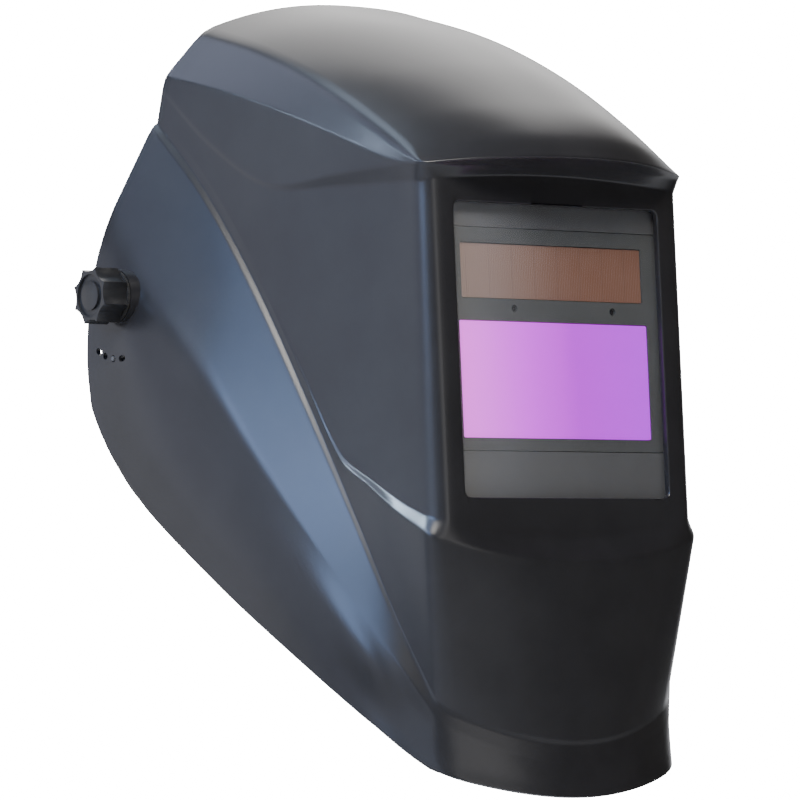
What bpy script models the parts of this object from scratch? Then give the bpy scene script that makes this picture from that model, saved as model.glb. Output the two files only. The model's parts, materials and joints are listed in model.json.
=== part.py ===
"""Welding helmet: a moulded shell with an auto-darkening lens cartridge, on an adjustable headgear.

The shell faces -Y, +Z is up and +X is the wearer's left. The origin is on the tilt axis, midway
between the two side pivots. Sizes below are in millimetres, and every mesh is built in metres.
"""
import math

import bmesh
import bpy
from mathutils import Vector

MM = 0.001
SIDES = (("left", 1), ("right", -1))

# ---------------------------------------------------------------- driving sizes
GAP = 0.3                        # clearance between two pieces that touch
WALL = 2.2                       # shell thickness
FACE_Y = -154.7                  # flat front face round the window
WINDOW = (106.5, 119.0)          # opening in the front face, width and height
WINDOW_Z = -35.6                 # its centre
LENS = (114.0, 133.0, 1.0)       # cover lens, width, height, thickness
CARTRIDGE = (110.0, 90.0)        # auto-darkening cartridge, width and height
CARTRIDGE_Z = -30.8
FRONT_CASE_T = 3.6
BACK_CASE_T = 5.1
POD = (108.0, 31.0, 10.0)        # control housing on the cartridge's back
POD_Z = -3.4
POD_WALL = 1.6
FILTER = (97.6, 47.0, 3.0)       # liquid crystal filter glass
FILTER_Z = -47.1
SOLAR = (94.0, 22.0, 0.8)
SOLAR_Z = -3.2
SENSORS = (-20.5, 31.0)          # the two light sensors, across
SENSOR_Z = -18.2
GASKET_T = 0.6
HOLDER = (118.0, 136.0, 2.4)     # plate that carries the cartridge
DIALS = (("shade", -40.0), ("sensitivity", -18.0), ("delay", 4.0))
DIAL_R = 6.5
SWITCH = (19.5, -10.5)           # grind switch, across and up
TEST_BUTTON = (19.5, 5.0)
TRAY = (27.0, 6.4, 22.6)         # battery tray, across, deep and high
CELL_R = 10.0
CELL_T = 3.2
SCREW_X = 51.3                   # cartridge screws, across
SCREW_R = 1.1
LATCH = (38.0, 63.2, 9.0, 2.0)   # thumb latch, inner and outer end, height, thickness
LATCH_Z = 24.0
HOOKS = (("upper", 60.4), ("lower", 57.0))     # inner ends of the shell's hooks
HOOK_OUT = 67.4                  # where the hooks meet the shell's side
HOOK_SIZE = (11.0, 3.0)          # height and thickness
LOWER_HOOK_Z = -84.0
# Depths of the stack behind the window, from the front to the back.
LENS_Y = FACE_Y + WALL + GAP + GASKET_T + GAP
HOLDER_Y = LENS_Y + LENS[2] + GAP
BACK_CASE_Y = HOLDER_Y + FRONT_CASE_T + GAP
CASE_BACK_Y = BACK_CASE_Y + BACK_CASE_T
POD_BACK_Y = CASE_BACK_Y + POD[2]

BOSS_R = 12.5                    # flat boss of the shell round each pivot
BOSS_X = (105.0, 112.0)
BOLT_R = 4.0
KNOB_R = 12.2
KNOB_X = (113.7, 125.4)
KNOB_FLUTE = 2.3                 # depth of the hollows between the knob's points
KNOB_GROOVE = (6.1, 8.9, 1.2)    # ring groove in the knob's face, radii and depth
BLOCK = (30.0, 25.0)             # slide block behind each temple arm, along and up
HUB_R = 12.6
HUB_X = 97.5                     # outer end of the slide block's hub
TILT_PLATE_X = (97.8, 100.3)
WASHER_R = 11.0
OUTER_WASHER_X = (112.3, 113.4)
TOOTH = (32.0, 46.0)             # stop tooth of the right block, angles from straight down
PLATE_ARM = (-12.0, 42.0)        # reach of the tilt plate behind the stop holes
LUG = (14.0, 30.6)               # lug of the tilt plate that meets it
STOP_R = 26.0                    # circle of the angle stop holes
STOP_ANGLES = (-2.7, 10.5, 22.6, 33.0)
STOP_HOLE_R = 1.35

BAND_X = 81.0                    # half width of the headband
BAND_FRONT_Y = -96.0
BAND_REAR_Y = 108.0
BAND_FLAT_Y = 30.0               # the straight temple arms run this far from the pivot
BAND_T = 1.6
BAND_H = 26.0
BAND_TILT = -0.26                # rise of the band for each millimetre forward
BAND_Z0 = 5.0
ARM_SLOT = (26.4, 8.8)           # slot of each temple arm that the pivot bolt slides in
STUD_HOLE_R = 2.3
STRAP_Y = 28.0                   # stud of the crown strap, behind the pivot
BAND_STUD_Y = 41.0               # stud of the rear band
STRAP_X = BAND_X - 2.2
STRAP_TOP = 104.0
STRAP_W = 16.0
STRAP_T = 1.2
REAR_BAND_OUT = 1.8
REAR_BAND_H = 19.0
RACK = (4.6, 10.4)               # each rack's lower and upper edge from the band's middle
RATCHET_H = 36.0
RATCHET_KNOB_R = 18.0
PINION_R = 4.3
PAD_T = 6.2                      # brow pad
NAPE_PAD_T = 8.0

# ---------------------------------------------------------------- shell lines
# Each line runs from the middle of the front to the rear rim: the middle's (y, z), how late the
# front bends back (its power), and (half width, y, z) points from the front corner to the rim.
SHELL_LINES = {
    "brow_edge": ((-176.0, 40.5), 2.2, ((68.4, -153.8, 38.6), (69.7, -123.5, 59.6),
                  (71.2, -88.0, 81.6), (72.9, -51.3, 99.1), (74.4, -16.7, 111.7))),
    "facet_edge": ((-171.0, 39.4), 2.4, ((68.3, -153.3, 38.0), (70.2, -139.0, 41.0),
                   (75.0, -104.6, 56.7), (78.9, -75.6, 69.3), (82.9, -46.0, 80.7),
                   (88.0, -7.8, 93.2))),
    "wedge_top": ((-163.0, 37.8), 3.5, ((68.1, -152.9, 37.2), (70.1, -138.0, 39.3),
                  (75.0, -106.0, 39.6), (80.8, -68.0, 40.4), (85.3, -35.0, 61.0),
                  (88.8, -6.2, 88.0))),
    "wedge_low": ((-154.7, 36.0), 24.0, ((66.8, -151.2, 31.6), (68.4, -138.0, 32.6),
                  (73.6, -106.0, 34.8), (80.4, -68.0, 38.4), (85.1, -35.0, 58.6),
                  (88.9, -5.6, 86.0))),
    "shelf_top": ((-154.7, -111.4), 24.0, ((67.4, -150.9, -103.7), (70.3, -133.7, -94.9),
                  (72.9, -118.0, -85.1), (75.6, -103.0, -74.0), (78.6, -82.0, -36.0),
                  (82.4, -57.0, 10.0), (86.2, -29.0, 50.0), (89.7, -3.4, 76.0))),
    "shelf_lip": ((-160.8, -121.2), 2.6, ((69.8, -152.0, -110.4), (71.9, -135.0, -100.3),
                  (74.4, -119.5, -88.1), (76.2, -104.0, -77.0), (78.7, -83.0, -40.0),
                  (82.3, -57.5, 6.0), (86.1, -29.5, 47.0), (89.8, -3.1, 75.2))),
    "ridge_top": ((-154.8, -193.0), 2.2, ((60.2, -140.5, -177.0), (68.2, -127.8, -144.6),
                  (74.2, -109.9, -101.0), (78.2, -84.2, -49.1), (82.1, -57.6, 0.2),
                  (86.1, -29.6, 42.6), (89.9, -2.7, 73.9))),
    "ridge_low": ((-154.3, -195.0), 2.2, ((60.1, -140.3, -179.0), (68.8, -127.8, -147.0),
                  (75.4, -109.9, -104.0), (79.9, -84.0, -52.0), (84.1, -57.3, -2.5),
                  (88.2, -29.2, 40.2), (92.2, -1.8, 71.6))),
    "crease": ((-154.6, -202.5), 2.2, ((59.9, -140.3, -184.0), (70.4, -129.6, -161.0),
               (83.0, -103.4, -120.1), (95.6, -71.4, -72.3), (103.4, -45.7, -34.9),
               (107.2, -18.0, -6.0), (108.6, 12.4, 30.0))),
    "panel_high": ((-155.4, -207.0), 2.2, ((59.8, -140.5, -190.0), (67.5, -130.8, -176.0),
                   (79.0, -118.5, -156.0), (91.2, -86.0, -115.0), (102.8, -45.0, -65.0),
                   (110.2, -10.0, -28.0), (112.0, 18.6, 4.0))),
    "panel_low": ((-156.2, -211.5), 2.2, ((59.5, -141.2, -198.0), (67.5, -130.5, -188.0),
                  (78.5, -115.0, -170.0), (90.6, -84.0, -135.0), (100.5, -44.0, -95.0),
                  (107.8, -10.0, -62.0), (112.6, 22.4, -24.0))),
    "rim": ((-157.0, -215.7), 2.2, ((58.5, -143.0, -205.5), (64.0, -135.6, -201.5),
            (77.0, -117.4, -183.0), (88.0, -82.0, -154.0), (96.0, -42.0, -122.6),
            (104.0, 3.5, -82.5), (109.0, 19.0, -57.0), (111.0, 23.0, -45.0))),
}
# Lines between two named ones: the line above, the line below and how far down between them.
SHELL_BETWEEN = (("wedge_low", "shelf_top", (0.08, 0.5, 0.92)), ("shelf_lip", "ridge_top", (0.5,)),
                 ("ridge_low", "crease", (0.5,)))
SHELL_CROWN = ((-176.0, 40.5), (-167.0, 51.5), (-150.0, 66.0), (-118.0, 87.5), (-75.0, 109.0),
               (-26.0, 125.5))
CROWN_POWER = 2.4
FRONT_STATIONS = (0.28, 0.55, 0.80, 0.93, 1.0)
SIDE_STATIONS = (0.04, 0.12, 0.22, 0.33, 0.45, 0.57, 0.69, 0.81, 0.91, 1.0)


# ---------------------------------------------------------------- helpers
def along(points, t):
    """Point at the fraction t of the length of a smooth line through the points."""
    pts = [Vector(p) for p in points]
    steps = [0.0]
    for a, b in zip(pts, pts[1:]):
        steps.append(steps[-1] + (b - a).length)
    at = t * steps[-1]
    i = max(k for k in range(len(pts) - 1) if steps[k] <= at + 1e-9)
    u = (at - steps[i]) / (steps[i + 1] - steps[i])
    before = pts[i - 1] if i else pts[0] * 2 - pts[1]
    after = pts[i + 2] if i + 2 < len(pts) else pts[-1] * 2 - pts[-2]
    reach = steps[i + 1] - steps[i]
    left = (pts[i + 1] - before) * reach / (reach + (pts[i] - before).length)
    right = (after - pts[i]) * reach / (reach + (after - pts[i + 1]).length)
    h = u * u * (3 - 2 * u)
    bend = (u ** 3 - 2 * u * u + u) * left + (u ** 3 - u * u) * right
    return pts[i] * (1 - h) + pts[i + 1] * h + bend


def mixed(line_a, line_b, share):
    return [a.lerp(b, share) for a, b in zip(line_a, line_b)]


def new_object(name, bm, material, origin=(0, 0, 0), parent=None):
    """Mesh in millimetres about the origin point, made an object in metres."""
    bmesh.ops.recalc_face_normals(bm, faces=bm.faces)
    bmesh.ops.scale(bm, vec=(MM, MM, MM), verts=bm.verts)
    mesh = bpy.data.meshes.new(name)
    bm.to_mesh(mesh)
    bm.free()
    obj = bpy.data.objects.new(name, mesh)
    bpy.context.collection.objects.link(obj)
    obj.location = Vector(origin) * MM
    if material:
        mesh.materials.append(MATERIALS[material])
        mesh.shade_smooth()
        mesh.set_sharp_from_angle(angle=math.radians(35))
    if parent:
        hold(obj, parent)
    return obj


def hold(obj, parent):
    obj.parent = parent
    obj.matrix_parent_inverse = parent.matrix_world.inverted()


def pivot(name, origin, parent=None):
    """Empty on a joint's axis, which carries the pieces that move about it."""
    empty = bpy.data.objects.new(name, None)
    bpy.context.collection.objects.link(empty)
    empty.empty_display_size = 0.02
    empty.location = Vector(origin) * MM
    bpy.context.view_layer.update()
    if parent:
        hold(empty, parent)
        bpy.context.view_layer.update()
    return empty


def lay(axis, u, v, h):
    """Point from two outline coordinates and a height along the named axis."""
    return {"X": (h, u, v), "Y": (u, h, v), "Z": (u, v, h)}[axis]


def prism(name, outline, axis, start, end, material, origin=(0, 0, 0), parent=None):
    """Closed outline in the plane across the axis, extruded from start to end."""
    bm = bmesh.new()
    face = bm.faces.new([bm.verts.new(lay(axis, u, v, start)) for u, v in outline])
    raised = bmesh.ops.extrude_face_region(bm, geom=[face])["geom"]
    top = [v for v in raised if isinstance(v, bmesh.types.BMVert)]
    bmesh.ops.translate(bm, vec=lay(axis, 0, 0, end - start), verts=top)
    return new_object(name, bm, material, origin, parent)


def frame_prism(name, outer, inner, axis, start, end, material, origin=(0, 0, 0), parent=None):
    """Ring between two outlines that have equally many points, extruded from start to end."""
    bm = bmesh.new()
    loops = []
    for outline in (outer, inner):
        verts = [bm.verts.new(lay(axis, u, v, start)) for u, v in outline]
        loops.append([bm.edges.new(pair) for pair in zip(verts, verts[1:] + verts[:1])])
    faces = bmesh.ops.bridge_loops(bm, edges=loops[0] + loops[1])["faces"]
    raised = bmesh.ops.extrude_face_region(bm, geom=faces)["geom"]
    top = [v for v in raised if isinstance(v, bmesh.types.BMVert)]
    bmesh.ops.translate(bm, vec=lay(axis, 0, 0, end - start), verts=top)
    return new_object(name, bm, material, origin, parent)


def turned(name, profile, axis, sides, material, origin=(0, 0, 0), parent=None):
    """Closed profile of (radius, height) points, spun about the axis through the origin."""
    bm = bmesh.new()
    verts = [bm.verts.new(lay(axis, r, 0, h)) for r, h in profile]
    edges = [bm.edges.new(pair) for pair in zip(verts, verts[1:])]
    if profile[0][0] and profile[-1][0]:
        edges.append(bm.edges.new((verts[-1], verts[0])))
    direction = lay(axis, 0, 0, 1)
    bmesh.ops.spin(bm, geom=verts + edges, cent=(0, 0, 0), axis=direction, angle=math.tau,
                   steps=sides, use_merge=True)
    bmesh.ops.remove_doubles(bm, verts=bm.verts, dist=0.01)
    return new_object(name, bm, material, origin, parent)


def sheet(name, rows, thickness, material, offset=0.0, parent=None):
    """Grid of points made a surface, then a solid by a Solidify modifier."""
    bm = bmesh.new()
    grid = [[bm.verts.new(p) for p in row] for row in rows]
    for low, high in zip(grid, grid[1:]):
        for a, b, c, d in zip(low, low[1:], high[1:], high):
            bm.faces.new((a, b, c, d))
    bmesh.ops.remove_doubles(bm, verts=bm.verts, dist=0.01)
    obj = new_object(name, bm, material, parent=parent)
    thicken(obj, thickness, offset)
    return obj


def thicken(obj, thickness, offset):
    solidify = obj.modifiers.new("Wall", "SOLIDIFY")
    solidify.thickness = thickness * MM
    solidify.offset = offset
    solidify.use_even_offset = True
    return solidify


def cut(obj, cutter):
    """Take the cutter's shape out of the object."""
    boolean = obj.modifiers.new("Cut " + cutter.name, "BOOLEAN")
    boolean.operation = "DIFFERENCE"
    boolean.solver = "EXACT"
    boolean.object = cutter
    cutter.hide_render = True
    cutter.display_type = "WIRE"


def join(obj, other):
    """Add the other shape to the object."""
    cut(obj, other)
    obj.modifiers[-1].operation = "UNION"


def circle(radius, sides=24, centre=(0, 0)):
    turn = [math.tau * i / sides for i in range(sides)]
    return [(centre[0] + radius * math.cos(a), centre[1] + radius * math.sin(a)) for a in turn]


def rounded(width, height, radius, centre=(0, 0), steps=3):
    """Rounded rectangle outline."""
    points = []
    for quarter, (sx, sy) in enumerate(((1, 1), (-1, 1), (-1, -1), (1, -1))):
        for i in range(steps + 1):
            a = math.pi / 2 * (quarter + i / steps)
            points.append((centre[0] + sx * (width / 2 - radius) + radius * math.cos(a),
                           centre[1] + sy * (height / 2 - radius) + radius * math.sin(a)))
    return points


def make_material(name, colour, roughness, metallic=0.0, alpha=1.0):
    mat = bpy.data.materials.new(name)
    mat.use_nodes = True
    shader = mat.node_tree.nodes["Principled BSDF"]
    shader.inputs["Base Color"].default_value = (*colour, 1)
    shader.inputs["Roughness"].default_value = roughness
    shader.inputs["Metallic"].default_value = metallic
    shader.inputs["Alpha"].default_value = alpha
    return mat


# ---------------------------------------------------------------- shell
def front_point(middle, power, corner, share):
    """Point of a line's front part at a share of the corner's half width."""
    (y, z), (w, corner_y, corner_z) = middle, corner
    bend = share ** power
    return Vector((w * share, y + (corner_y - y) * bend, z + (corner_z - z) * share * share))


def shell_line(name):
    """Half of a shell line: middle of the front, front stations, then side stations."""
    middle, power, side = SHELL_LINES[name]
    front = [Vector((0, *middle))] + [front_point(middle, power, side[0], s) for s in FRONT_STATIONS]
    return front + [along(side, t) for t in SIDE_STATIONS]


def shell_half_lines():
    """All half lines from the brow edge down to the rim, with the lines in between."""
    lines = []
    for name in SHELL_LINES:
        lines.append((name, shell_line(name)))
        for above, below, shares in SHELL_BETWEEN:
            if above == name:
                pair = shell_line(above), shell_line(below)
                lines += [(f"{above}_{share}", mixed(*pair, share)) for share in shares]
    return lines


def both_halves(line):
    return [Vector((-p.x, p.y, p.z)) for p in reversed(line[1:])] + line


def crown_rows():
    """Rows across the crown from the brow edge back to the rear rim."""
    edge = shell_line("brow_edge")[len(FRONT_STATIONS):]
    rows = []
    for k, t in enumerate((0.0,) + SIDE_STATIONS):
        middle = along([(0, y, z) for y, z in SHELL_CROWN], t)
        end = edge[k]
        half = [middle]
        for share in FRONT_STATIONS:
            bend = share ** CROWN_POWER
            depth = share ** (2.2 if k == 0 else CROWN_POWER)
            rise = share * share if k == 0 else bend
            half.append(Vector((end.x * share, middle.y + (end.y - middle.y) * depth,
                                middle.z + (end.z - middle.z) * rise)))
        rows.append(both_halves(half))
    return rows


def shell_surface():
    """Outer surface of the shell as quads: the crown, then the front and the sides."""
    bm = bmesh.new()
    for rows in (crown_rows(), [both_halves(line) for name, line in shell_half_lines()]):
        grid = [[bm.verts.new(p) for p in row] for row in rows]
        for low, high in zip(grid, grid[1:]):
            for a, b, c, d in zip(low, low[1:], high[1:], high):
                bm.faces.new((a, b, c, d))
    bmesh.ops.remove_doubles(bm, verts=bm.verts, dist=0.02)
    return bm


def make_shell(parent):
    shell = new_object("shell", shell_surface(), "shell_black", parent=parent)
    thicken(shell, WALL, -1.0)
    for side, s in SIDES:
        low, high = sorted(s * x for x in BOSS_X)
        boss = prism(f"boss_{side}", circle(BOSS_R, 24), "X", low, high, None, parent=parent)
        join(shell, boss)
        bore = prism(f"bolt_bore_{side}", circle(BOLT_R + 0.3, 16), "X", s * 95, s * 120, None,
                     parent=parent)
        cut(shell, bore)
    opening = prism("window_opening", rounded(*WINDOW, 3.0, (0, WINDOW_Z)), "Y", -170, -140, None,
                    parent=parent)
    cut(shell, opening)
    for k, angle in enumerate(STOP_ANGLES):
        a = math.radians(angle)
        centre = (STOP_R * math.sin(a), -STOP_R * math.cos(a))
        hole = prism(f"stop_hole_{k}", circle(STOP_HOLE_R, 10, centre), "X", -125, -95, None,
                     parent=parent)
        cut(shell, hole)
    return shell


# ---------------------------------------------------------------- lens and cartridge
def slab(name, size, centre, y, depth, material, parent, radius=1.0, steps=2):
    """Plate that faces -Y: width and height, centre across and up, front face and depth."""
    outline = rounded(*size, radius, centre, steps)
    return prism(name, outline, "Y", y, y + depth, material, parent=parent)


def cut_slab(obj, name, size, centre, y, depth, radius=0.6, steps=1):
    cut(obj, slab(name, size, centre, y, depth, None, obj.parent, radius, steps))


def cut_round(obj, name, radius, centre, axis, low, high, sides=12):
    cut(obj, prism(name, circle(radius, sides, centre), axis, low, high, None, parent=obj.parent))


def make_front_lens(parent):
    """Gasket and cover lens behind the window opening."""
    outer = rounded(LENS[0], LENS[1], 3.0, (0, WINDOW_Z))
    inner = rounded(WINDOW[0] + 1, WINDOW[1] + 1, 3.0, (0, WINDOW_Z))
    y = FACE_Y + WALL + GAP
    frame_prism("lens_gasket", outer, inner, "Y", y, y + GASKET_T, "rubber", parent=parent)
    slab("cover_lens", LENS[:2], (0, WINDOW_Z), LENS_Y, LENS[2], "clear_plastic", parent, 3.0)


def make_holder(parent):
    """Holder plate with a raised wall round the cartridge and two pads for its latches."""
    seat = (CARTRIDGE[0] + 2 * GAP, CARTRIDGE[1] + 2 * GAP)
    inner = rounded(*seat, 1.5, (0, CARTRIDGE_Z))
    outer = rounded(HOLDER[0], HOLDER[1], 4.0, (0, WINDOW_Z))
    plate = frame_prism("cartridge_holder", outer, inner, "Y", HOLDER_Y, HOLDER_Y + HOLDER[2],
                        "inner_plastic", parent=parent)
    wall = rounded(seat[0] + 4, seat[1] + 4, 3.0, (0, CARTRIDGE_Z))
    join(plate, frame_prism("holder_wall", wall, inner, "Y", HOLDER_Y + 0.5, CASE_BACK_Y, None,
                            parent=parent))
    for side, s in SIDES:
        join(plate, slab(f"latch_pad_{side}", (24.0, LATCH[2] + 4), (s * 46.0, LATCH_Z),
                         HOLDER_Y + 0.5, CASE_BACK_Y - HOLDER_Y - 0.5, None, parent))


def make_latches(parent):
    """Two thumb latches that slide behind the shell's hooks, each held by its own empty."""
    y = CASE_BACK_Y + GAP
    for side, s in SIDES:
        slide = pivot(f"latch_slide_{side}", (s * 50.0, y, LATCH_Z), parent)
        length, middle = LATCH[1] - LATCH[0], (LATCH[0] + LATCH[1]) / 2
        latch = slab(f"holder_latch_{side}", (length, LATCH[2]), (s * middle, LATCH_Z), y, LATCH[3],
                     "knob_plastic", slide, 0.6, 1)
        join(latch, slab(f"thumb_ridge_{side}", (3.0, LATCH[2] - 1), (s * (LATCH[0] + 5), LATCH_Z),
                         y + 0.5, 5.0, None, slide, 0.8))


def make_hooks(shell):
    """Hooks inside the shell: two behind the latches, two over the holder's lower edge."""
    places = {"upper": (LATCH_Z, CASE_BACK_Y + GAP + LATCH[3] + GAP),
              "lower": (LOWER_HOOK_Z, HOLDER_Y + HOLDER[2] + GAP)}
    for side, s in SIDES:
        for level, inner in HOOKS:
            z, y = places[level]
            hook = slab(f"{level}_hook_{side}", (HOOK_OUT - inner, HOOK_SIZE[0]),
                        (s * (inner + HOOK_OUT) / 2, z), y, HOOK_SIZE[1], None, shell.parent)
            join(shell, hook)


def make_cartridge(parent):
    """Front case with the filter glass, solar cell and sensors in its openings."""
    front = slab("cartridge_front_case", CARTRIDGE, (0, CARTRIDGE_Z), HOLDER_Y, FRONT_CASE_T,
                 "case_plastic", parent, 1.2)
    through = (HOLDER_Y - 1, FRONT_CASE_T + 2)
    for name, size, z in (("filter", FILTER, FILTER_Z), ("solar", SOLAR, SOLAR_Z)):
        cut_slab(front, f"{name}_opening", (size[0] + 0.6, size[1] + 0.6), (0, z), *through)
    for side, x in zip(("right", "left"), SENSORS):
        cut_round(front, f"sensor_opening_{side}", 1.6, (x, SENSOR_Z), "Y", HOLDER_Y - 1,
                  BACK_CASE_Y)
        turned(f"light_sensor_{side}", ((0, 0), (1.0, 0.2), (1.3, 0.8), (1.3, 2.8), (0, 2.8)), "Y",
               12, "sensor_glass", (x, HOLDER_Y + 0.5, SENSOR_Z), parent)
    slab("lcd_filter", FILTER[:2], (0, FILTER_Z), HOLDER_Y + 0.3, FILTER[2], "filter_glass", parent,
         0.5, 1)
    slab("solar_cell", SOLAR[:2], (0, SOLAR_Z), HOLDER_Y + 0.5, SOLAR[2], "solar_brown", parent,
         0.4, 1)
    return front


def make_back_case(parent):
    """Back case with the control housing, open inside for the board and the battery tray."""
    back = slab("cartridge_back_case", CARTRIDGE, (0, CARTRIDGE_Z), BACK_CASE_Y, BACK_CASE_T,
                "case_plastic", parent, 1.2)
    join(back, slab("pod", POD[:2], (0, POD_Z), BACK_CASE_Y + 0.5, POD_BACK_Y - BACK_CASE_Y - 0.5,
                    None, parent, 2.0))
    cut_slab(back, "view_opening", (FILTER[0] - 4, FILTER[1] - 3), (0, FILTER_Z), BACK_CASE_Y - 1,
             BACK_CASE_T + 2)
    cut_slab(back, "inner_lens_seat", (FILTER[0] + 3, FILTER[1] + 1.6), (0, FILTER_Z),
             CASE_BACK_Y - 1.4, 3)
    cut_slab(back, "board_room", (POD[0] - 2 * POD_WALL - 4, POD[1] - 2 * POD_WALL), (0, POD_Z),
             BACK_CASE_Y - 1, POD_BACK_Y - POD_WALL - BACK_CASE_Y + 1)
    for name, x in DIALS:
        cut_round(back, f"{name}_hole", 2.4, (x, POD_Z), "Y", POD_BACK_Y - 3, POD_BACK_Y + 1)
    cut_round(back, "test_hole", 2.9, TEST_BUTTON, "Y", POD_BACK_Y - 3, POD_BACK_Y + 1)
    cut_slab(back, "switch_slot", (10.6, 3.8), SWITCH, POD_BACK_Y - 3, 4)
    tray_y = CASE_BACK_Y + 0.8
    door = prism("tray_door", rounded(TRAY[1] + 0.6, TRAY[2] + 0.6, 0.5,
                 (tray_y + TRAY[1] / 2, POD_Z), 1), "X", 45.0, 60.0, None, parent=parent)
    cut(back, door)
    slab("inner_lens", (FILTER[0] + 2.4, FILTER[1] + 1.0), (0, FILTER_Z), CASE_BACK_Y - 1.1, 1.0,
         "clear_plastic", parent, 1.0)
    return back


def make_electronics(parent):
    """Circuit board, the dials' potentiometers and the coin cell in its sliding tray."""
    board_y = BACK_CASE_Y + 0.3
    slab("circuit_board", (98.0, 26.0), (0, POD_Z), board_y, 1.4, "board_green", parent, 1.0)
    for name, x in DIALS:
        inner, outer = circle(2.4, 16, (x, POD_Z)), circle(5.2, 16, (x, POD_Z))
        frame_prism(f"{name}_potentiometer", outer, inner, "Y", board_y + 1.7, board_y + 7.5,
                    "metal", parent=parent)
    slide = pivot("tray_slide", (54.0, CASE_BACK_Y + 4, POD_Z), parent)
    y = CASE_BACK_Y + 1.1
    x = 54.0 - TRAY[0] / 2
    tray = slab("battery_tray", (TRAY[0], TRAY[2]), (x, POD_Z), y, TRAY[1] - 0.6, "knob_plastic",
                slide, 0.6)
    cell_x = x - 1.0
    cut_round(tray, "cell_pocket", CELL_R + GAP, (cell_x, POD_Z), "Y", y + 1.6, y + 9, 24)
    prism("coin_cell", circle(CELL_R, 24, (cell_x, POD_Z)), "Y", y + 1.9, y + 1.9 + CELL_T, "metal",
          parent=slide)


def make_controls(parent):
    """Three dials, the grind switch and the test button on the control housing."""
    y = POD_BACK_Y
    for name, x in DIALS:
        turn = pivot(f"{name}_turn", (x, y, POD_Z), parent)
        dial = turned(f"{name}_dial", ((0, -6.0), (2.0, -6.0), (2.0, GAP), (DIAL_R, GAP),
                      (DIAL_R, 4.2), (DIAL_R - 0.8, 5.0), (0, 5.0)), "Y", 24, "knob_plastic",
                      (x, y, POD_Z), turn)
        cut_slab(dial, f"{name}_pointer", (1.2, 5.0), (x, POD_Z + 4.2), y + 4.3, 2.0, 0.4)
    slide = pivot("switch_slide", (SWITCH[0], y, SWITCH[1]), parent)
    rest_x = SWITCH[0] - 3.0
    switch = slab("grind_switch", (4.0, 3.2), (rest_x, SWITCH[1]), y - 2.6, 5.0, "knob_plastic",
                  slide, 0.4)
    join(switch, slab("switch_flange", (7.0, 6.0), (rest_x + 0.4, SWITCH[1]), y - 3.6, 1.6, None,
                      slide, 0.4))
    press = pivot("test_press", (TEST_BUTTON[0], y, TEST_BUTTON[1]), parent)
    turned("test_button", ((0, -4.0), (3.8, -4.0), (3.8, -2.6), (2.5, -2.6), (2.5, 1.6),
           (2.0, 2.2), (0, 2.2)), "Y", 16, "red_plastic", (TEST_BUTTON[0], y, TEST_BUTTON[1]), press)


def make_case_screws(parent, front, back):
    """Screws that close the cartridge: two long ones through the housing, two short ones."""
    tip = HOLDER_Y + 0.8
    number = 0
    for z, head_y in ((POD_Z + 12.5, POD_BACK_Y), (CARTRIDGE_Z - 41.5, CASE_BACK_Y)):
        for x in (-SCREW_X, SCREW_X):
            number += 1
            for case in (front, back):
                cut_round(case, f"screw_hole_{number}_{case.name}", SCREW_R + GAP, (x, z), "Y",
                          tip - 0.4, POD_BACK_Y + 1, 10)
            length = head_y + GAP - tip
            turned(f"case_screw_{number}", ((0, -length), (SCREW_R, -length), (SCREW_R, 0),
                   (2.2, 0), (2.2, 0.8), (1.4, 1.4), (0, 1.4)), "Y", 12, "metal",
                   (x, head_y + GAP, z), parent)


# ---------------------------------------------------------------- pivots
def make_side_pivot(side, s, carriage, tilting):
    """Bolt, slide block, washers and tension knob of one side, from the head outwards."""
    def at(*xs):
        return sorted(s * x for x in xs)

    def washer(name, radius, low, high, material, parent):
        outer, inner = circle(radius, 24), circle(BOLT_R + GAP, 24)
        frame_prism(name, outer, inner, "X", *at(low, high), material, parent=parent)

    head = (BAND_X - 4.4, BAND_X - 1.2)
    bolt_profile = ((0, head[0]), (8.6, head[0]), (9.0, head[0] + 0.6), (9.0, head[1]),
                    (BOLT_R, head[1]), (BOLT_R, 120.6), (3.4, 121.2), (0, 121.2))
    turned(f"pivot_bolt_{side}", [(r, s * x) for r, x in bolt_profile], "X", 24, "metal",
           parent=carriage)
    block = prism(f"slide_block_{side}", rounded(*BLOCK, 5.0), "X", *at(BAND_X + 1.2, 90.0),
                  "knob_plastic", parent=carriage)
    join(block, prism(f"block_hub_{side}", circle(HUB_R, 24), "X", *at(88.0, HUB_X), None,
                      parent=carriage))
    if side == "right":
        join(block, prism("stop_tooth", sector(11.0, 17.5, *TOOTH), "X", *at(HUB_X - 6.5, HUB_X),
                          None, parent=carriage))
    cut_round(block, f"block_bore_{side}", BOLT_R + GAP, (0, 0), "X", *at(80, 100))
    washer_low = HUB_X + GAP
    if side == "right":
        make_tilt_plate(s, tilting)
        washer_low = TILT_PLATE_X[1] + GAP
    washer(f"inner_washer_{side}", WASHER_R, washer_low, BOSS_X[0] - GAP, "fibre", carriage)
    washer(f"outer_washer_{side}", WASHER_R, *OUTER_WASHER_X, "fibre", carriage)
    make_knob(side, s, carriage)


def sector(low, high, start, end, steps=4):
    """Outline between two radii and two angles, measured from straight down to the back."""
    def arc(radius, angles):
        return [(radius * math.sin(a), -radius * math.cos(a)) for a in angles]

    turn = [math.radians(start + (end - start) * i / steps) for i in range(steps + 1)]
    return arc(high, turn) + arc(low, turn[::-1])


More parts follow.
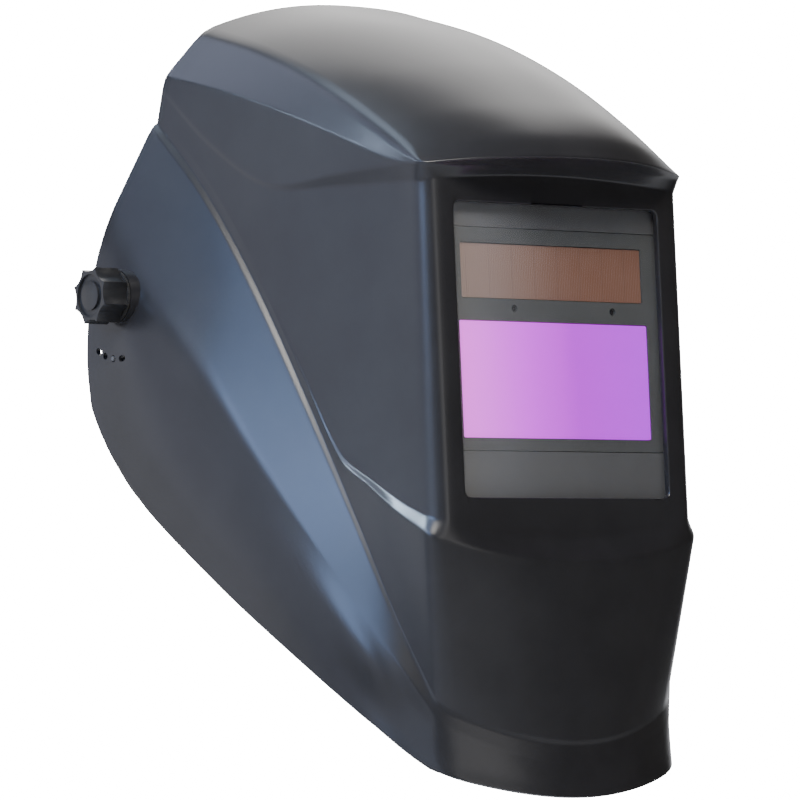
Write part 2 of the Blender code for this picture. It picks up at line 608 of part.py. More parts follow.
def make_tilt_plate(s, tilting):
    """Plate that turns with the shell: a pin in a stop hole, and a lug that meets the tooth."""
    low, high = sorted(s * x for x in TILT_PLATE_X)
    plate = prism("tilt_stop_plate", circle(13.4, 24), "X", low, high, "inner_plastic",
                  parent=tilting)
    angle = STOP_ANGLES[1]
    arm = sector(8.0, STOP_R + 4.0, *PLATE_ARM)
    join(plate, prism("plate_arm", arm, "X", low, high, None, parent=tilting))
    low_lug, high_lug = sorted((s * 93.0, s * 99.0))
    join(plate, prism("plate_lug", sector(13.0, 17.5, *LUG), "X", low_lug, high_lug, None,
                      parent=tilting))
    a = math.radians(angle)
    centre = (STOP_R * math.sin(a), -STOP_R * math.cos(a))
    low_pin, high_pin = sorted((s * 99.0, s * 111.8))
    join(plate, prism("stop_pin", circle(STOP_HOLE_R - GAP, 10, centre), "X", low_pin, high_pin,
                      None, parent=tilting))
    cut_round(plate, "plate_bore", BOLT_R + GAP, (0, 0), "X", s * 90 - 15, s * 90 + 15)
    return plate


def star(points=8, steps=6):
    """Knob outline with sharp points and hollow flutes between them."""
    outline = []
    for k in range(points * steps):
        share = abs((k % steps) / steps - 0.5) * 2
        radius = KNOB_R - KNOB_FLUTE * (1 - share ** 2)
        a = math.tau * (k / (points * steps)) + math.pi / points
        outline.append((radius * math.cos(a), radius * math.sin(a)))
    return outline


def make_knob(side, s, carriage):
    turn = pivot(f"knob_turn_{side}", (s * KNOB_X[0], 0, 0), carriage)
    low, high = sorted(s * x for x in KNOB_X)
    knob = prism(f"tension_knob_{side}", star(), "X", low, high, "knob_plastic", parent=turn)
    bore_low, bore_high = sorted((s * 110, s * 121.5))
    cut_round(knob, f"knob_bore_{side}", BOLT_R + GAP, (0, 0), "X", bore_low, bore_high, 16)
    inner, outer, depth = KNOB_GROOVE
    groove = sorted((s * (KNOB_X[1] - depth), s * (KNOB_X[1] + 1)))
    ring = frame_prism(f"knob_groove_{side}", circle(outer, 24), circle(inner, 24), "X", *groove,
                       None, parent=turn)
    cut(knob, ring)


# ---------------------------------------------------------------- headgear
def band_point(u, offset=0.0):
    """Point of the band's left half in plan: 0-1 brow, 1-2 temple arm, 2-3 nape, then past it."""
    if 1 <= u <= 2:
        return Vector((BAND_X + offset, BAND_FLAT_Y * (2 * u - 3)))
    front = u < 1
    reach = -BAND_FLAT_Y - BAND_FRONT_Y if front else BAND_REAR_Y - BAND_FLAT_Y
    a = math.radians(90 * (u if front else 3 - u))
    way = -1 if front else 1
    normal = Vector((math.sin(a) / BAND_X, way * math.cos(a) / reach)).normalized()
    centre = Vector((BAND_X * math.sin(a), way * (BAND_FLAT_Y + reach * math.cos(a))))
    return centre + normal * offset


def band_z(y):
    return BAND_Z0 + BAND_TILT * y


def band_rows(stops, offset, low, high, s=1):
    """Lower and upper edge of a band along the stops; low and high may depend on the stop."""
    rows = [[], []]
    for u in stops:
        x, y = band_point(abs(u), offset)
        x *= s if u >= 0 else -s
        for row, edge in zip(rows, (low, high)):
            rise = edge(u) if callable(edge) else edge
            row.append((x, y, band_z(y) + rise))
    return rows


def spread(start, end, steps):
    return [start + (end - start) * i / steps for i in range(steps + 1)]


def make_headband(parent):
    arm_end = 2.22
    stops = spread(-arm_end, -2, 2) + spread(-2, -1, 4)[1:] + spread(-1, 1, 18)[1:]
    stops += spread(1, 2, 4)[1:] + spread(2, arm_end, 2)[1:]
    rows = band_rows(stops, 0.0, -BAND_H / 2, BAND_H / 2)
    band = sheet("headband", rows, BAND_T, "band_plastic", parent=parent)
    for side, s in SIDES:
        low, high = sorted((s * 75, s * 90))
        slot = prism(f"arm_slot_{side}", rounded(*ARM_SLOT, 4.3), "X", low, high, None,
                     parent=parent)
        cut(band, slot)
        for name, y in (("strap", STRAP_Y), ("band", BAND_STUD_Y)):
            cut_round(band, f"{name}_stud_hole_{side}", STUD_HOLE_R, (y, band_z(y)), "X", low,
                      high, 10)
    return band


def make_rear_bands(parent):
    """Two rear bands, each narrowing to a rack that runs through the ratchet."""
    def blend(u, wide, narrow):
        share = min(max((u - 2.48) / 0.2, 0.0), 1.0)
        return wide + (narrow - wide) * share

    half = REAR_BAND_H / 2
    edges = {"left": (lambda u: blend(u, -half, RACK[0]), lambda u: blend(u, half, RACK[1])),
             "right": (lambda u: blend(u, -half, -RACK[1]), lambda u: blend(u, half, -RACK[0]))}
    for side, s in SIDES:
        rows = band_rows(spread(2.06, 3.26, 16), REAR_BAND_OUT, *edges[side], s)
        band = sheet(f"rear_band_{side}", rows, STRAP_T, "band_plastic", parent=parent)
        low, high = sorted((s * 75, s * 90))
        cut_round(band, f"rear_stud_hole_{side}", STUD_HOLE_R, (BAND_STUD_Y, band_z(BAND_STUD_Y)),
                  "X", low, high, 10)
        stud(f"band_stud_{side}", s, BAND_STUD_Y, BAND_X - 2.9, BAND_X + 2.0, parent)
        stud(f"strap_stud_{side}", s, STRAP_Y, BAND_X - 3.4, BAND_X + 1.1, parent)


def stud(name, s, y, inner, outer, parent):
    """Rivet through two bands at a temple arm, with a flat head on each side."""
    reach = 1.3
    profile = ((0, inner - reach), (4.0, inner - reach), (4.0, inner), (2.0, inner), (2.0, outer),
               (4.0, outer), (4.0, outer + reach), (0, outer + reach))
    turned(name, [(r, s * x) for r, x in profile], "X", 12, "band_plastic", (0, y, band_z(y)),
           parent)


def make_crown_straps(parent):
    """Two straps over the crown, one above the other at the top, held by a peg."""
    for side, s in SIDES:
        rise = STRAP_TOP if side == "left" else STRAP_TOP - 1.7
        rows = []
        foot = band_z(STRAP_Y) - 6.0
        for edge in (-STRAP_W / 2, STRAP_W / 2):
            row = []
            for a in spread(0, 103, 16):
                c, h = math.cos(math.radians(a)), math.sin(math.radians(a))
                row.append((s * (STRAP_X * c), STRAP_Y - 6.0 * h + edge, foot + (rise - foot) * h))
            rows.append(row)
        strap = sheet(f"crown_strap_{side}", rows, STRAP_T, "band_plastic", parent=parent)
        low, high = sorted((s * 70, s * 85))
        cut_round(strap, f"foot_hole_{side}", STUD_HOLE_R, (STRAP_Y, band_z(STRAP_Y)), "X", low,
                  high, 10)
        cut_round(strap, f"crown_hole_{side}", 2.5, (0, STRAP_Y - 6.0), "Z", 80, 120, 10)
    turned("crown_peg", ((0, -3.9), (4.0, -3.9), (4.0, -2.7), (2.2, -2.7), (2.2, 0.9), (5.0, 0.9),
           (5.0, 2.0), (0, 2.4)), "Z", 16, "band_plastic", (0, STRAP_Y - 6.0, STRAP_TOP), parent)


def make_ratchet(parent):
    """Ratchet at the nape: cover with a channel for the racks, plate, pinion, knob and pad."""
    stops = spread(2.72, 3.28, 12)
    wide = spread(2.6, 3.4, 12)
    at = REAR_BAND_OUT
    half = RATCHET_H / 2
    cover = sheet("ratchet_cover", band_rows(stops, at + 1.6, -half, half), 6.6, "knob_plastic",
                  parent=parent)
    channel = sheet("rack_channel", band_rows(wide, at + 0.3, -12.4, 12.4), 4.2, None,
                    parent=parent)
    cut(cover, channel)
    sheet("ratchet_plate", band_rows(stops, at - 3.1, -half, half), 2.2, "inner_plastic",
          parent=parent)
    sheet("nape_pad", band_rows(spread(2.62, 3.38, 12), at - 8.8, 3 - half, half - 3), NAPE_PAD_T,
          "foam", parent=parent)
    centre_y = BAND_REAR_Y + at
    z = band_z(centre_y)
    cut_round(cover, "ratchet_bore", 3.4, (0, z), "Y", centre_y - 5, centre_y + 8, 16)
    turn = pivot("ratchet_turn", (0, centre_y, z), parent)
    make_ratchet_knob(turn, (0, centre_y, z))
    pinion(turn, (0, centre_y, z))


def make_ratchet_knob(turn, centre):
    r = RATCHET_KNOB_R
    profile = ((0, -1.4), (3.0, -1.4), (3.0, 5.4), (r - 1, 5.4), (r, 6.4), (r, 15.0),
               (r - 1.5, 16.5), (0, 16.5))
    knob = turned("ratchet_knob", profile, "Y", 36, "knob_plastic", centre, turn)
    for k in range(12):
        a = math.tau * k / 12
        flute = (centre[0] + (r + 1.6) * math.cos(a), centre[2] + (r + 1.6) * math.sin(a))
        cut_round(knob, f"ratchet_flute_{k}", 3.2, flute, "Y", centre[1] + 4, centre[1] + 18, 8)


def pinion(turn, centre, teeth=10):
    outer, inner = [], []
    for k in range(teeth * 4):
        a = math.tau * k / (teeth * 4)
        radius = PINION_R if k % 4 < 2 else PINION_R - 0.5
        outer.append((centre[0] + radius * math.cos(a), centre[2] + radius * math.sin(a)))
        inner.append((centre[0] + 3.3 * math.cos(a), centre[2] + 3.3 * math.sin(a)))
    frame_prism("ratchet_pinion", outer, inner, "Y", centre[1] - 1.3, centre[1] + 1.5, "metal",
                parent=turn)


def make_sweatband(parent):
    stops = spread(-0.74, 0.74, 18)
    sheet("brow_pad", band_rows(stops, -4.3, -16.5, 16.5), PAD_T, "foam", parent=parent)


# ---------------------------------------------------------------- the whole helmet
MATERIALS = {}


def make_materials():
    finishes = {"shell_black": ((0.022, 0.023, 0.026), 0.38), "rubber": ((0.02, 0.02, 0.02), 0.7),
                "inner_plastic": ((0.06, 0.062, 0.064), 0.5),
                "case_plastic": ((0.035, 0.037, 0.038), 0.4),
                "filter_glass": ((0.47, 0.13, 0.75), 0.08), "solar_brown": ((0.14, 0.07, 0.05), 0.3),
                "sensor_glass": ((0.01, 0.01, 0.012), 0.15), "board_green": ((0.02, 0.12, 0.05), 0.5),
                "knob_plastic": ((0.015, 0.015, 0.016), 0.4), "red_plastic": ((0.5, 0.03, 0.02), 0.4),
                "band_plastic": ((0.03, 0.03, 0.032), 0.5), "foam": ((0.05, 0.05, 0.055), 0.95),
                "fibre": ((0.08, 0.075, 0.07), 0.8)}
    for name, (colour, roughness) in finishes.items():
        MATERIALS[name] = make_material(name, colour, roughness)
    MATERIALS["metal"] = make_material("metal", (0.6, 0.6, 0.6), 0.3, metallic=1.0)
    MATERIALS["clear_plastic"] = make_material("clear_plastic", (0.8, 0.82, 0.8), 0.05, alpha=0.2)


def make_helmet():
    for obj in list(bpy.data.objects):
        bpy.data.objects.remove(obj, do_unlink=True)
    make_materials()
    headgear = pivot("headgear", (0, 0, 0))
    carriage = pivot("pivot_carriage", (0, 0, 0), headgear)
    tilting = pivot("tilt_axis", (0, 0, 0), carriage)
    ratchet = pivot("ratchet_slide", (0, BAND_REAR_Y, band_z(BAND_REAR_Y)), headgear)
    shell = make_shell(tilting)
    make_hooks(shell)
    make_front_lens(tilting)
    make_holder(tilting)
    make_latches(tilting)
    front = make_cartridge(tilting)
    back = make_back_case(tilting)
    make_electronics(tilting)
    make_controls(tilting)
    make_case_screws(tilting, front, back)
    for side, s in SIDES:
        make_side_pivot(side, s, carriage, tilting)
    make_headband(headgear)
    make_rear_bands(headgear)
    make_crown_straps(headgear)
    make_sweatband(headgear)
    make_ratchet(ratchet)


make_helmet()
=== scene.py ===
"""Looks of the welding helmet: shell, tension knobs, lens cartridge, headgear and their finishes.

Sizes are in millimetres unless a name says otherwise. The shell faces -Y, +Z is up and +X is the
wearer's left, with the origin on the tilt axis midway between the side pivots.
"""
import json
import math

import bmesh
import bpy
from mathutils import Matrix, Vector


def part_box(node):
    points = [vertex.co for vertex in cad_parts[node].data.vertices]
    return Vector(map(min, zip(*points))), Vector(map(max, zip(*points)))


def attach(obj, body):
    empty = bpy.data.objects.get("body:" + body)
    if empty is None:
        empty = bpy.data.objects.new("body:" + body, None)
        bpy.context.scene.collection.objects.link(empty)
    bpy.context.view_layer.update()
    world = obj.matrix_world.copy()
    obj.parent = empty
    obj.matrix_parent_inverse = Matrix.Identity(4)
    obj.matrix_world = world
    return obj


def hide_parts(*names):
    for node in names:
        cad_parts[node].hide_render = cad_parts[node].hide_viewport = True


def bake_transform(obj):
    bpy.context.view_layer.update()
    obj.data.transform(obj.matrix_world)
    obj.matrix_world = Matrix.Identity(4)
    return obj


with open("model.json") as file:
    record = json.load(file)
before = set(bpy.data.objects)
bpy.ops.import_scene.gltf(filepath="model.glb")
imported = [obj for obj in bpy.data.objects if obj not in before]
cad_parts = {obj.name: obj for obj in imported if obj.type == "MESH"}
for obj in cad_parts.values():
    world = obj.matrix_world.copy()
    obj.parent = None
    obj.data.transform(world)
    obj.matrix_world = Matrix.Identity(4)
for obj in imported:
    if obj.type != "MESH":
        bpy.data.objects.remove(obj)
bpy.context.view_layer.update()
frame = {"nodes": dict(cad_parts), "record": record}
nodes = frame["nodes"]

MM = 0.001
SIDES = (("left", 1), ("right", -1))

# ---------------------------------------------------------------- main sizes
WALL = 2.2
FACE_Y = -154.7
WINDOW = (106.5, 119.0)
WINDOW_Z = -35.6
BOSS_R = 11.2                    # smaller than the frame's, so that it hides behind the knob
BOSS_X = (105.0, 112.0)
BOLT_BORE_R = 4.3
KNOB_R = 12.2
KNOB_X = (113.7, 125.4)
STOP_R = 26.0                    # ring of the tilt stops about the tilt axis
STOP_HALF_WIDTH = 1.3
STOP_SLOTS = ((-4.6, -0.8), (31.5, 34.5))     # in degrees from straight down to the back
STOP_HOLES = (10.5, 22.6)
STOP_HOLE_R = 1.5
BAND_X = 81.0
BAND_FRONT_Y = -96.0
BAND_REAR_Y = 108.0
BAND_FLAT_Y = 30.0
BAND_H = 26.0
BAND_TILT = -0.26
BAND_Z0 = 5.0
STRAP_X = BAND_X - 2.2
STRAP_Y = 28.0
STRAP_TOP = 104.0
STRAP_W = 16.0
STRAP_LEAN = 6.0                 # how far forward the top of a crown strap lies
STUD_HOLE_R = 2.3
BAND_STUD_Y = 41.0
REAR_BAND_OUT = 1.8
RACK = (4.6, 10.4)

# ---------------------------------------------------------------- camera, light and floor
VIEW_AZIMUTH = math.radians(-37.606)
VIEW_ELEVATION = math.radians(-4.688)
VIEW_ROLL = math.radians(-2.385)
VIEW_DISTANCE = 2.1
VIEW_AIM = (-0.013169, -0.047512)     # across and up from the point below
VIEW_POINT = Vector((0, -0.07, 0))
LENS = 225.56
FLOOR_Z = -0.75


def view_axes():
    """Right, up and back of the camera."""
    back = Vector((math.sin(VIEW_AZIMUTH) * math.cos(VIEW_ELEVATION),
                   -math.cos(VIEW_AZIMUTH) * math.cos(VIEW_ELEVATION), math.sin(VIEW_ELEVATION)))
    right = Vector((0, 0, 1)).cross(back).normalized()
    up = back.cross(right)
    turn = Matrix.Rotation(VIEW_ROLL, 3, back)
    return turn @ right, turn @ up, back


def make_camera():
    right, up, back = view_axes()
    aim = VIEW_POINT + right * VIEW_AIM[0] + up * VIEW_AIM[1]
    data = bpy.data.cameras.new("camera")
    data.lens = LENS
    data.clip_end = 30
    camera = bpy.data.objects.new("camera", data)
    bpy.context.collection.objects.link(camera)
    rotation = Matrix((right, up, back)).transposed()
    camera.matrix_world = Matrix.Translation(aim + back * VIEW_DISTANCE) @ rotation.to_4x4()
    bpy.context.scene.camera = camera


def hang_lamp(name, data, target, direction, distance, power, colour):
    """Lamp at a distance from a point, in a direction, turned to face the point."""
    data.energy = power
    data.color = colour
    lamp = bpy.data.objects.new(name, data)
    bpy.context.collection.objects.link(lamp)
    away = Vector(direction).normalized()
    lamp.location = target + away * distance
    lamp.rotation_euler = away.to_track_quat("Z", "Y").to_euler()
    lamp.visible_camera = False


def make_light(name, direction, distance, size, power, colour):
    """Soft rectangular lamp that faces the helmet."""
    data = bpy.data.lights.new(name, "AREA")
    data.shape = "RECTANGLE"
    data.size, data.size_y = size
    hang_lamp(name, data, Vector((0, -0.05, -0.03)), direction, distance, power, colour)


def make_spot(name, target, direction, angle, power, colour):
    """Narrow soft spot aimed at one place on the shell."""
    data = bpy.data.lights.new(name, "SPOT")
    data.spot_size = math.radians(angle)
    data.spot_blend = 0.5
    data.shadow_soft_size = 0.05
    hang_lamp(name, data, Vector(target) * MM, direction, 1.3, power, colour)


# Each soft lamp: its direction from the helmet, distance, size, power and colour.
LAMPS = {
    "wall_left": ((-1.0, 0.36, 0.08), 1.7, (1.8, 1.0), 6.2, (0.76, 0.80, 1.0)),
    "wall_front": ((-0.92, -0.36, -0.05), 1.7, (0.9, 0.8), 2.4, (0.86, 0.88, 1.0)),
    "wall_back": ((-0.50, 0.85, -0.10), 2.0, (1.6, 1.6), 7, (0.95, 0.95, 1.0)),
    "window_lamp": ((-0.80, -0.31, 0.52), 1.5, (0.7, 0.5), 4.4, (0.36, 0.55, 1.0)),
    "low_window": ((-0.91, -0.26, 0.34), 1.5, (0.6, 0.4), 10.5, (0.36, 0.55, 1.0)),
    "upper_window": ((-0.84, 0.18, 0.52), 1.5, (0.5, 0.4), 1.25, (0.55, 0.68, 1.0)),
    "high_lamp": ((-0.50, 0.50, 0.70), 1.5, (0.8, 0.5), 4.4, (0.66, 0.74, 1.0)),
    "crown_lamp": ((-0.36, 0.10, 0.93), 1.5, (0.45, 0.5), 5, (0.62, 0.78, 1.0)),
    "top_lamp": ((0.35, 0.55, 0.75), 1.6, (1.6, 1.5), 21.5, (1.0, 0.985, 0.97)),
    "front_lamp": ((-0.75, -1.0, 1.1), 1.8, (0.5, 0.5), 30, (1.0, 0.96, 0.90)),
    "front_fill": ((-0.05, -1.0, 0.08), 1.8, (1.1, 0.6), 3.6, (1.0, 0.98, 0.96)),
    "far_wall": ((0.90, 0.60, 0.05), 1.7, (1.4, 1.2), 7, (0.95, 0.97, 1.0)),
}
FLOOR_GLOW = 20.0                # of the floor, as the camera sees it
SKY_GLOW = 24                    # of the backdrop, as the camera sees it


def show_camera(tree, usual, seen, output):
    """The surface or backdrop that the camera sees, and the usual one for all other light."""
    path = tree.nodes.new("ShaderNodeLightPath")
    mix = tree.nodes.new("ShaderNodeMixShader")
    tree.links.new(path.outputs["Is Camera Ray"], mix.inputs["Fac"])
    tree.links.new(usual.outputs[0], mix.inputs[1])
    tree.links.new(seen.outputs[0], mix.inputs[2])
    tree.links.new(mix.outputs[0], tree.nodes[output].inputs["Surface"])


def make_studio():
    make_camera()
    for name, settings in LAMPS.items():
        make_light(name, *settings)
    make_spot("shelf_lamp", (-71, -130, -95), (-0.75, 0.22, 0.62), 5.0, 75, (0.62, 0.80, 1.0))
    make_spot("facet_lamp", (-71, -128, 50), (-0.77, 0.50, 0.39), 7.0, 10, (0.58, 0.74, 1.0))
    bpy.ops.mesh.primitive_plane_add(size=40, location=(0, 0, FLOOR_Z))
    floor = bpy.context.object
    floor.name = "floor"
    paint = Paint("floor_white", {"Base Color": (0.8, 0.8, 0.8, 1), "Roughness": 0.9})
    pale = paint.tree.nodes.new("ShaderNodeEmission")
    pale.inputs["Strength"].default_value = FLOOR_GLOW
    show_camera(paint.tree, paint.shader, pale, "Material Output")
    floor.data.materials.append(paint.material)
    world = bpy.data.worlds.new("studio")
    bpy.context.scene.world = world
    world.use_nodes = True
    tree = world.node_tree
    plain = tree.nodes["Background"]
    plain.inputs["Color"].default_value = (0.036, 0.032, 0.031, 1)
    white = tree.nodes.new("ShaderNodeBackground")
    white.inputs["Color"].default_value = (SKY_GLOW, SKY_GLOW, SKY_GLOW, 1)
    show_camera(tree, plain, white, "World Output")


# ---------------------------------------------------------------- shader maths
class Value:
    """A number on a socket. Arithmetic on it adds Math nodes."""

    def __init__(self, paint, out):
        self.paint, self.out = paint, out

    def work(self, operation, *values):
        return self.paint.node("Math", {"operation": operation}, dict(enumerate(values)))

    def __add__(self, other):
        return self.work("ADD", self, other)

    def __sub__(self, other):
        return self.work("SUBTRACT", self, other)

    def __rsub__(self, other):
        return self.work("SUBTRACT", other, self)

    def __mul__(self, other):
        return self.work("MULTIPLY", self, other)

    def above(self, edge):
        return self.work("GREATER_THAN", self, edge)

    def wave(self):
        return self.work("SINE", self)

    def fade(self, low, high):
        """0 below low, 1 above high and smooth between them."""
        return self.paint.node("MapRange", {"interpolation_type": "SMOOTHSTEP"},
                               {"Value": self, "From Min": low, "From Max": high})


class Paint:
    """One finish: a material whose nodes are added by name."""

    def __init__(self, name, sockets):
        self.material = bpy.data.materials.new(name)
        self.material.use_nodes = True
        self.tree = self.material.node_tree
        self.shader = self.tree.nodes["Principled BSDF"]
        for socket, value in sockets.items():
            self.socket(socket, value)

    def put(self, socket, value):
        if isinstance(value, Value):
            self.tree.links.new(value.out, socket)
        else:
            socket.default_value = value

    def socket(self, name, value):
        self.put(self.shader.inputs[name], value)

    def node(self, kind, settings, sockets, output=0):
        """Any node, from its type, its settings and the values or links of its sockets."""
        made = self.tree.nodes.new("ShaderNode" + kind)
        stops = settings.get("stops")
        for name, value in settings.items():
            if name != "stops":
                setattr(made, name, value)
        if stops:
            while len(made.color_ramp.elements) < len(stops):
                made.color_ramp.elements.new(0.5)
            for element, (position, colour) in zip(made.color_ramp.elements, stops):
                element.position, element.color = position, (*colour, 1)
        for key, value in sockets.items():
            self.put(made.inputs[key], value)
        return Value(self, made.outputs[output])

    def where(self, centre=(0, 0, 0)):
        """Object coordinates in metres about a centre."""
        at = self.node("TexCoord", {}, {}, "Object")
        return self.node("Mapping", {}, {"Vector": at, "Location": [-c * MM for c in centre]})

    def axes(self, centre=(0, 0, 0)):
        split = self.node("SeparateXYZ", {}, {"Vector": self.where(centre)})
        outs = split.out.node.outputs
        return [Value(self, out) for out in outs]

    def noise(self, scale, detail=3.0, rough=0.55, stretch=(1, 1, 1)):
        at = self.node("Mapping", {}, {"Vector": self.where(), "Scale": stretch})
        return self.node("TexNoise", {}, {"Vector": at, "Scale": scale, "Detail": detail,
                                          "Roughness": rough})

    def cells(self, scale):
        return self.node("TexVoronoi", {}, {"Vector": self.where(), "Scale": scale})

    def ramp(self, value, stops):
        return self.node("ValToRGB", {"stops": stops}, {"Fac": value})

    def mix(self, share, low, high):
        """Colour between two colours."""
        made = self.tree.nodes.new("ShaderNodeMix")
        made.data_type = "RGBA"
        self.put(made.inputs[0], share)
        for socket, colour in ((made.inputs[6], low), (made.inputs[7], high)):
            self.put(socket, colour if isinstance(colour, Value) else (*colour, 1))
        return Value(self, made.outputs[2])

    def bump(self, height, depth_mm):
        self.socket("Normal", self.node("Bump", {}, {"Height": height, "Distance": depth_mm * MM}))

    def cover(self, colour, roughness):
        self.socket("Base Color", colour)
        self.socket("Roughness", roughness)


# ---------------------------------------------------------------- finishes
def moulded(name, colour, roughness, grain, grain_mm, wear=0.15):
    """Moulded plastic: fine spark texture, faint flow streaks and handling polish."""
    paint = Paint(name, {"IOR": 1.5})
    fine = paint.noise(grain, 2.0, 0.6)
    broad = paint.noise(38.0, 4.0, 0.6)
    dust = paint.cells(grain * 0.6)
    light = [min(c * 1.35 + 0.004, 1.0) for c in colour]
    dark = [c * 0.8 for c in colour]
    paint.cover(paint.mix(broad, dark, light),
                (fine - 0.5) * 0.10 + (broad - 0.5) * wear + roughness)
    paint.bump(fine * 0.7 + dust * 0.3, grain_mm)
    return paint.material


def make_rubber():
    paint = Paint("gasket_rubber", {"IOR": 1.45})
    speck = paint.noise(1500.0, 2.0)
    paint.cover(paint.mix(speck, (0.012, 0.012, 0.013), (0.03, 0.03, 0.032)), speck * 0.2 + 0.55)
    paint.bump(speck, 0.03)
    return paint.material


def make_cover_plastic():
    """Clear polycarbonate with the faint haze and hairline scratches of handling, and a painted
    reflection that makes it paler and less clear towards -X.
    """
    paint = Paint("clear_cover", {"IOR": 1.45, "Specular IOR Level": 0.5})
    x = paint.axes()[0]
    haze = paint.noise(90.0, 4.0)
    line = paint.noise(260.0, 2.0, 0.5, (1.0, 1.0, 0.03))
    scratch = line.fade(0.70, 0.74)
    # Painted reflection: towards -X the plate is paler and less clear, like a veil of lamp light lying
    # on it.
    side = 1 - x.fade(-0.055, 0.02)
    paint.cover(paint.mix(side, (0.10, 0.105, 0.11), (0.50, 0.51, 0.53)),
                haze * 0.08 + scratch * 0.2 + 0.04)
    paint.socket("Alpha", side * 0.05 + haze * 0.02 + scratch * 0.02 + 0.035)
    return paint.material


FILTER_Z = -47.1                 # middle of the filter, in millimetres
FILTER_WIDTH = 0.098             # in metres


def make_filter_coating(middle_y):
    """Violet interference coating on the front of the filter glass, painted lighter towards -X and made
    to glow as painted light; its back is plain dark green.
    """
    paint = Paint("filter_violet", {"IOR": 1.6, "Coat Roughness": 0.03})
    x, y = paint.axes((0, middle_y, FILTER_Z))[:2]
    front = 1 - y.above(0.0)
    drift = paint.noise(14.0, 3.0, 0.5, (1.0, 1.0, 0.25))
    streak = paint.noise(220.0, 2.0, 0.5, (1.0, 1.0, 0.02))
    # Painted light: the ramp makes the coating lighter towards -X and darker towards +X.
    share = x * (1 / FILTER_WIDTH) + 0.5 + (drift - 0.5) * 0.22 + (streak - 0.5) * 0.06
    colour = paint.ramp(share, ((0.0, (0.95, 0.08, 1.0)), (0.30, (0.72, 0.01, 0.92)),
                                (0.62, (0.47, 0.0, 0.70)), (1.0, (0.46, 0.0, 0.78))))
    shown = paint.mix(front, (0.012, 0.035, 0.02), colour)
    paint.socket("Base Color", shown)
    # Painted glow: the front of the filter gives off its own colour as light, though it is no lamp.
    paint.socket("Emission Color", paint.mix(front, (0.0, 0.0, 0.0), colour))
    paint.socket("Emission Strength", 1.25)
    paint.socket("Roughness", drift * 0.06 + 0.12)
    paint.socket("Coat Weight", 0.15)
    return paint.material


def make_solar_finish():
    """Brown amorphous cell, scribed into narrow upright strips, painted paler towards -X where the
    light falls.
    """
    paint = Paint("solar_brown", {"IOR": 1.5})
    x = paint.axes()[0]
    stripe = (x * (math.tau / 0.0118)).wave().fade(0.985, 0.999)
    fine = (x * (math.tau / 0.0009)).wave()
    drift = paint.noise(24.0, 3.0)
    # Painted light: the cell is paler towards -X and darker towards +X.
    side = x.fade(-0.05, 0.02)
    body = paint.mix(side, (0.40, 0.28, 0.23), (0.22, 0.105, 0.07))
    body = paint.mix(drift * 0.4, body, (0.30, 0.17, 0.12))
    paint.cover(paint.mix(stripe * 0.22, body, (0.10, 0.06, 0.05)),
                drift * 0.1 + fine * 0.02 + 0.22)
    return paint.material


def make_sensor_finish():
    paint = Paint("sensor_dark", {"IOR": 1.5, "Coat Weight": 0.6})
    spot = paint.noise(800.0)
    paint.cover(paint.mix(spot, (0.004, 0.004, 0.006), (0.02, 0.016, 0.02)), spot * 0.1 + 0.08)
    return paint.material


def make_board_finish():
    """Green board: solder mask over copper tracks, with plated dots."""
    paint = Paint("board_green", {"IOR": 1.5})
    z = paint.axes()[2]
    row = (z * (math.tau / 0.0026)).wave().above(0.55)
    breaks = paint.noise(160.0, 1.0).above(0.52)
    track = row * breaks
    dots = 1 - paint.cells(420.0).above(0.16)
    mask = paint.mix(track, (0.010, 0.085, 0.03), (0.018, 0.15, 0.055))
    paint.socket("Base Color", paint.mix(dots, mask, (0.75, 0.68, 0.5)))
    paint.socket("Metallic", dots)
    paint.socket("Roughness", 0.45 - dots * 0.2)
    paint.bump(track, 0.03)
    return paint.material


def make_steel():
    """Zinc-plated steel with fine turned lines and dull spots."""
    paint = Paint("zinc_steel", {"Metallic": 1.0})
    line = paint.noise(900.0, 2.0, 0.5, (0.08, 1.0, 1.0))
    spot = paint.noise(210.0, 3.0)
    paint.cover(paint.mix(spot, (0.50, 0.50, 0.49), (0.70, 0.71, 0.72)),
                line * 0.16 + spot * 0.12 + 0.18)
    paint.bump(line, 0.01)
    return paint.material


def make_fibre():
    paint = Paint("fibre_washer", {"IOR": 1.45})
    fleck = paint.noise(1300.0, 4.0, 0.7, (0.2, 1.0, 1.0))
    paint.cover(paint.mix(fleck.fade(0.35, 0.7), (0.010, 0.010, 0.009), (0.040, 0.037, 0.033)),
                fleck * 0.2 + 0.65)
    paint.bump(fleck, 0.05)
    return paint.material


def make_towelling(name, colour):
    """Knitted towelling over foam: rows of small loops that stand at random heights, with painted shade
    in the hollows between them.
    """
    paint = Paint(name, {"IOR": 1.4, "Sheen Weight": 0.35, "Sheen Roughness": 0.5})
    loops = paint.cells(1150.0)
    nap = paint.noise(700.0, 4.0, 0.7)
    patch = paint.noise(55.0, 3.0)
    height = (1 - loops) * 0.65 + nap * 0.35
    # Painted shade: the low points between the loops are darkened.
    dark = [c * 0.45 for c in colour]
    shade = paint.mix(height.fade(0.3, 0.8), dark, colour)
    paint.cover(paint.mix(patch * 0.3, shade, [c * 1.5 for c in colour]), 0.97 - nap * 0.15)
    paint.bump(height, 0.35)
    return paint.material


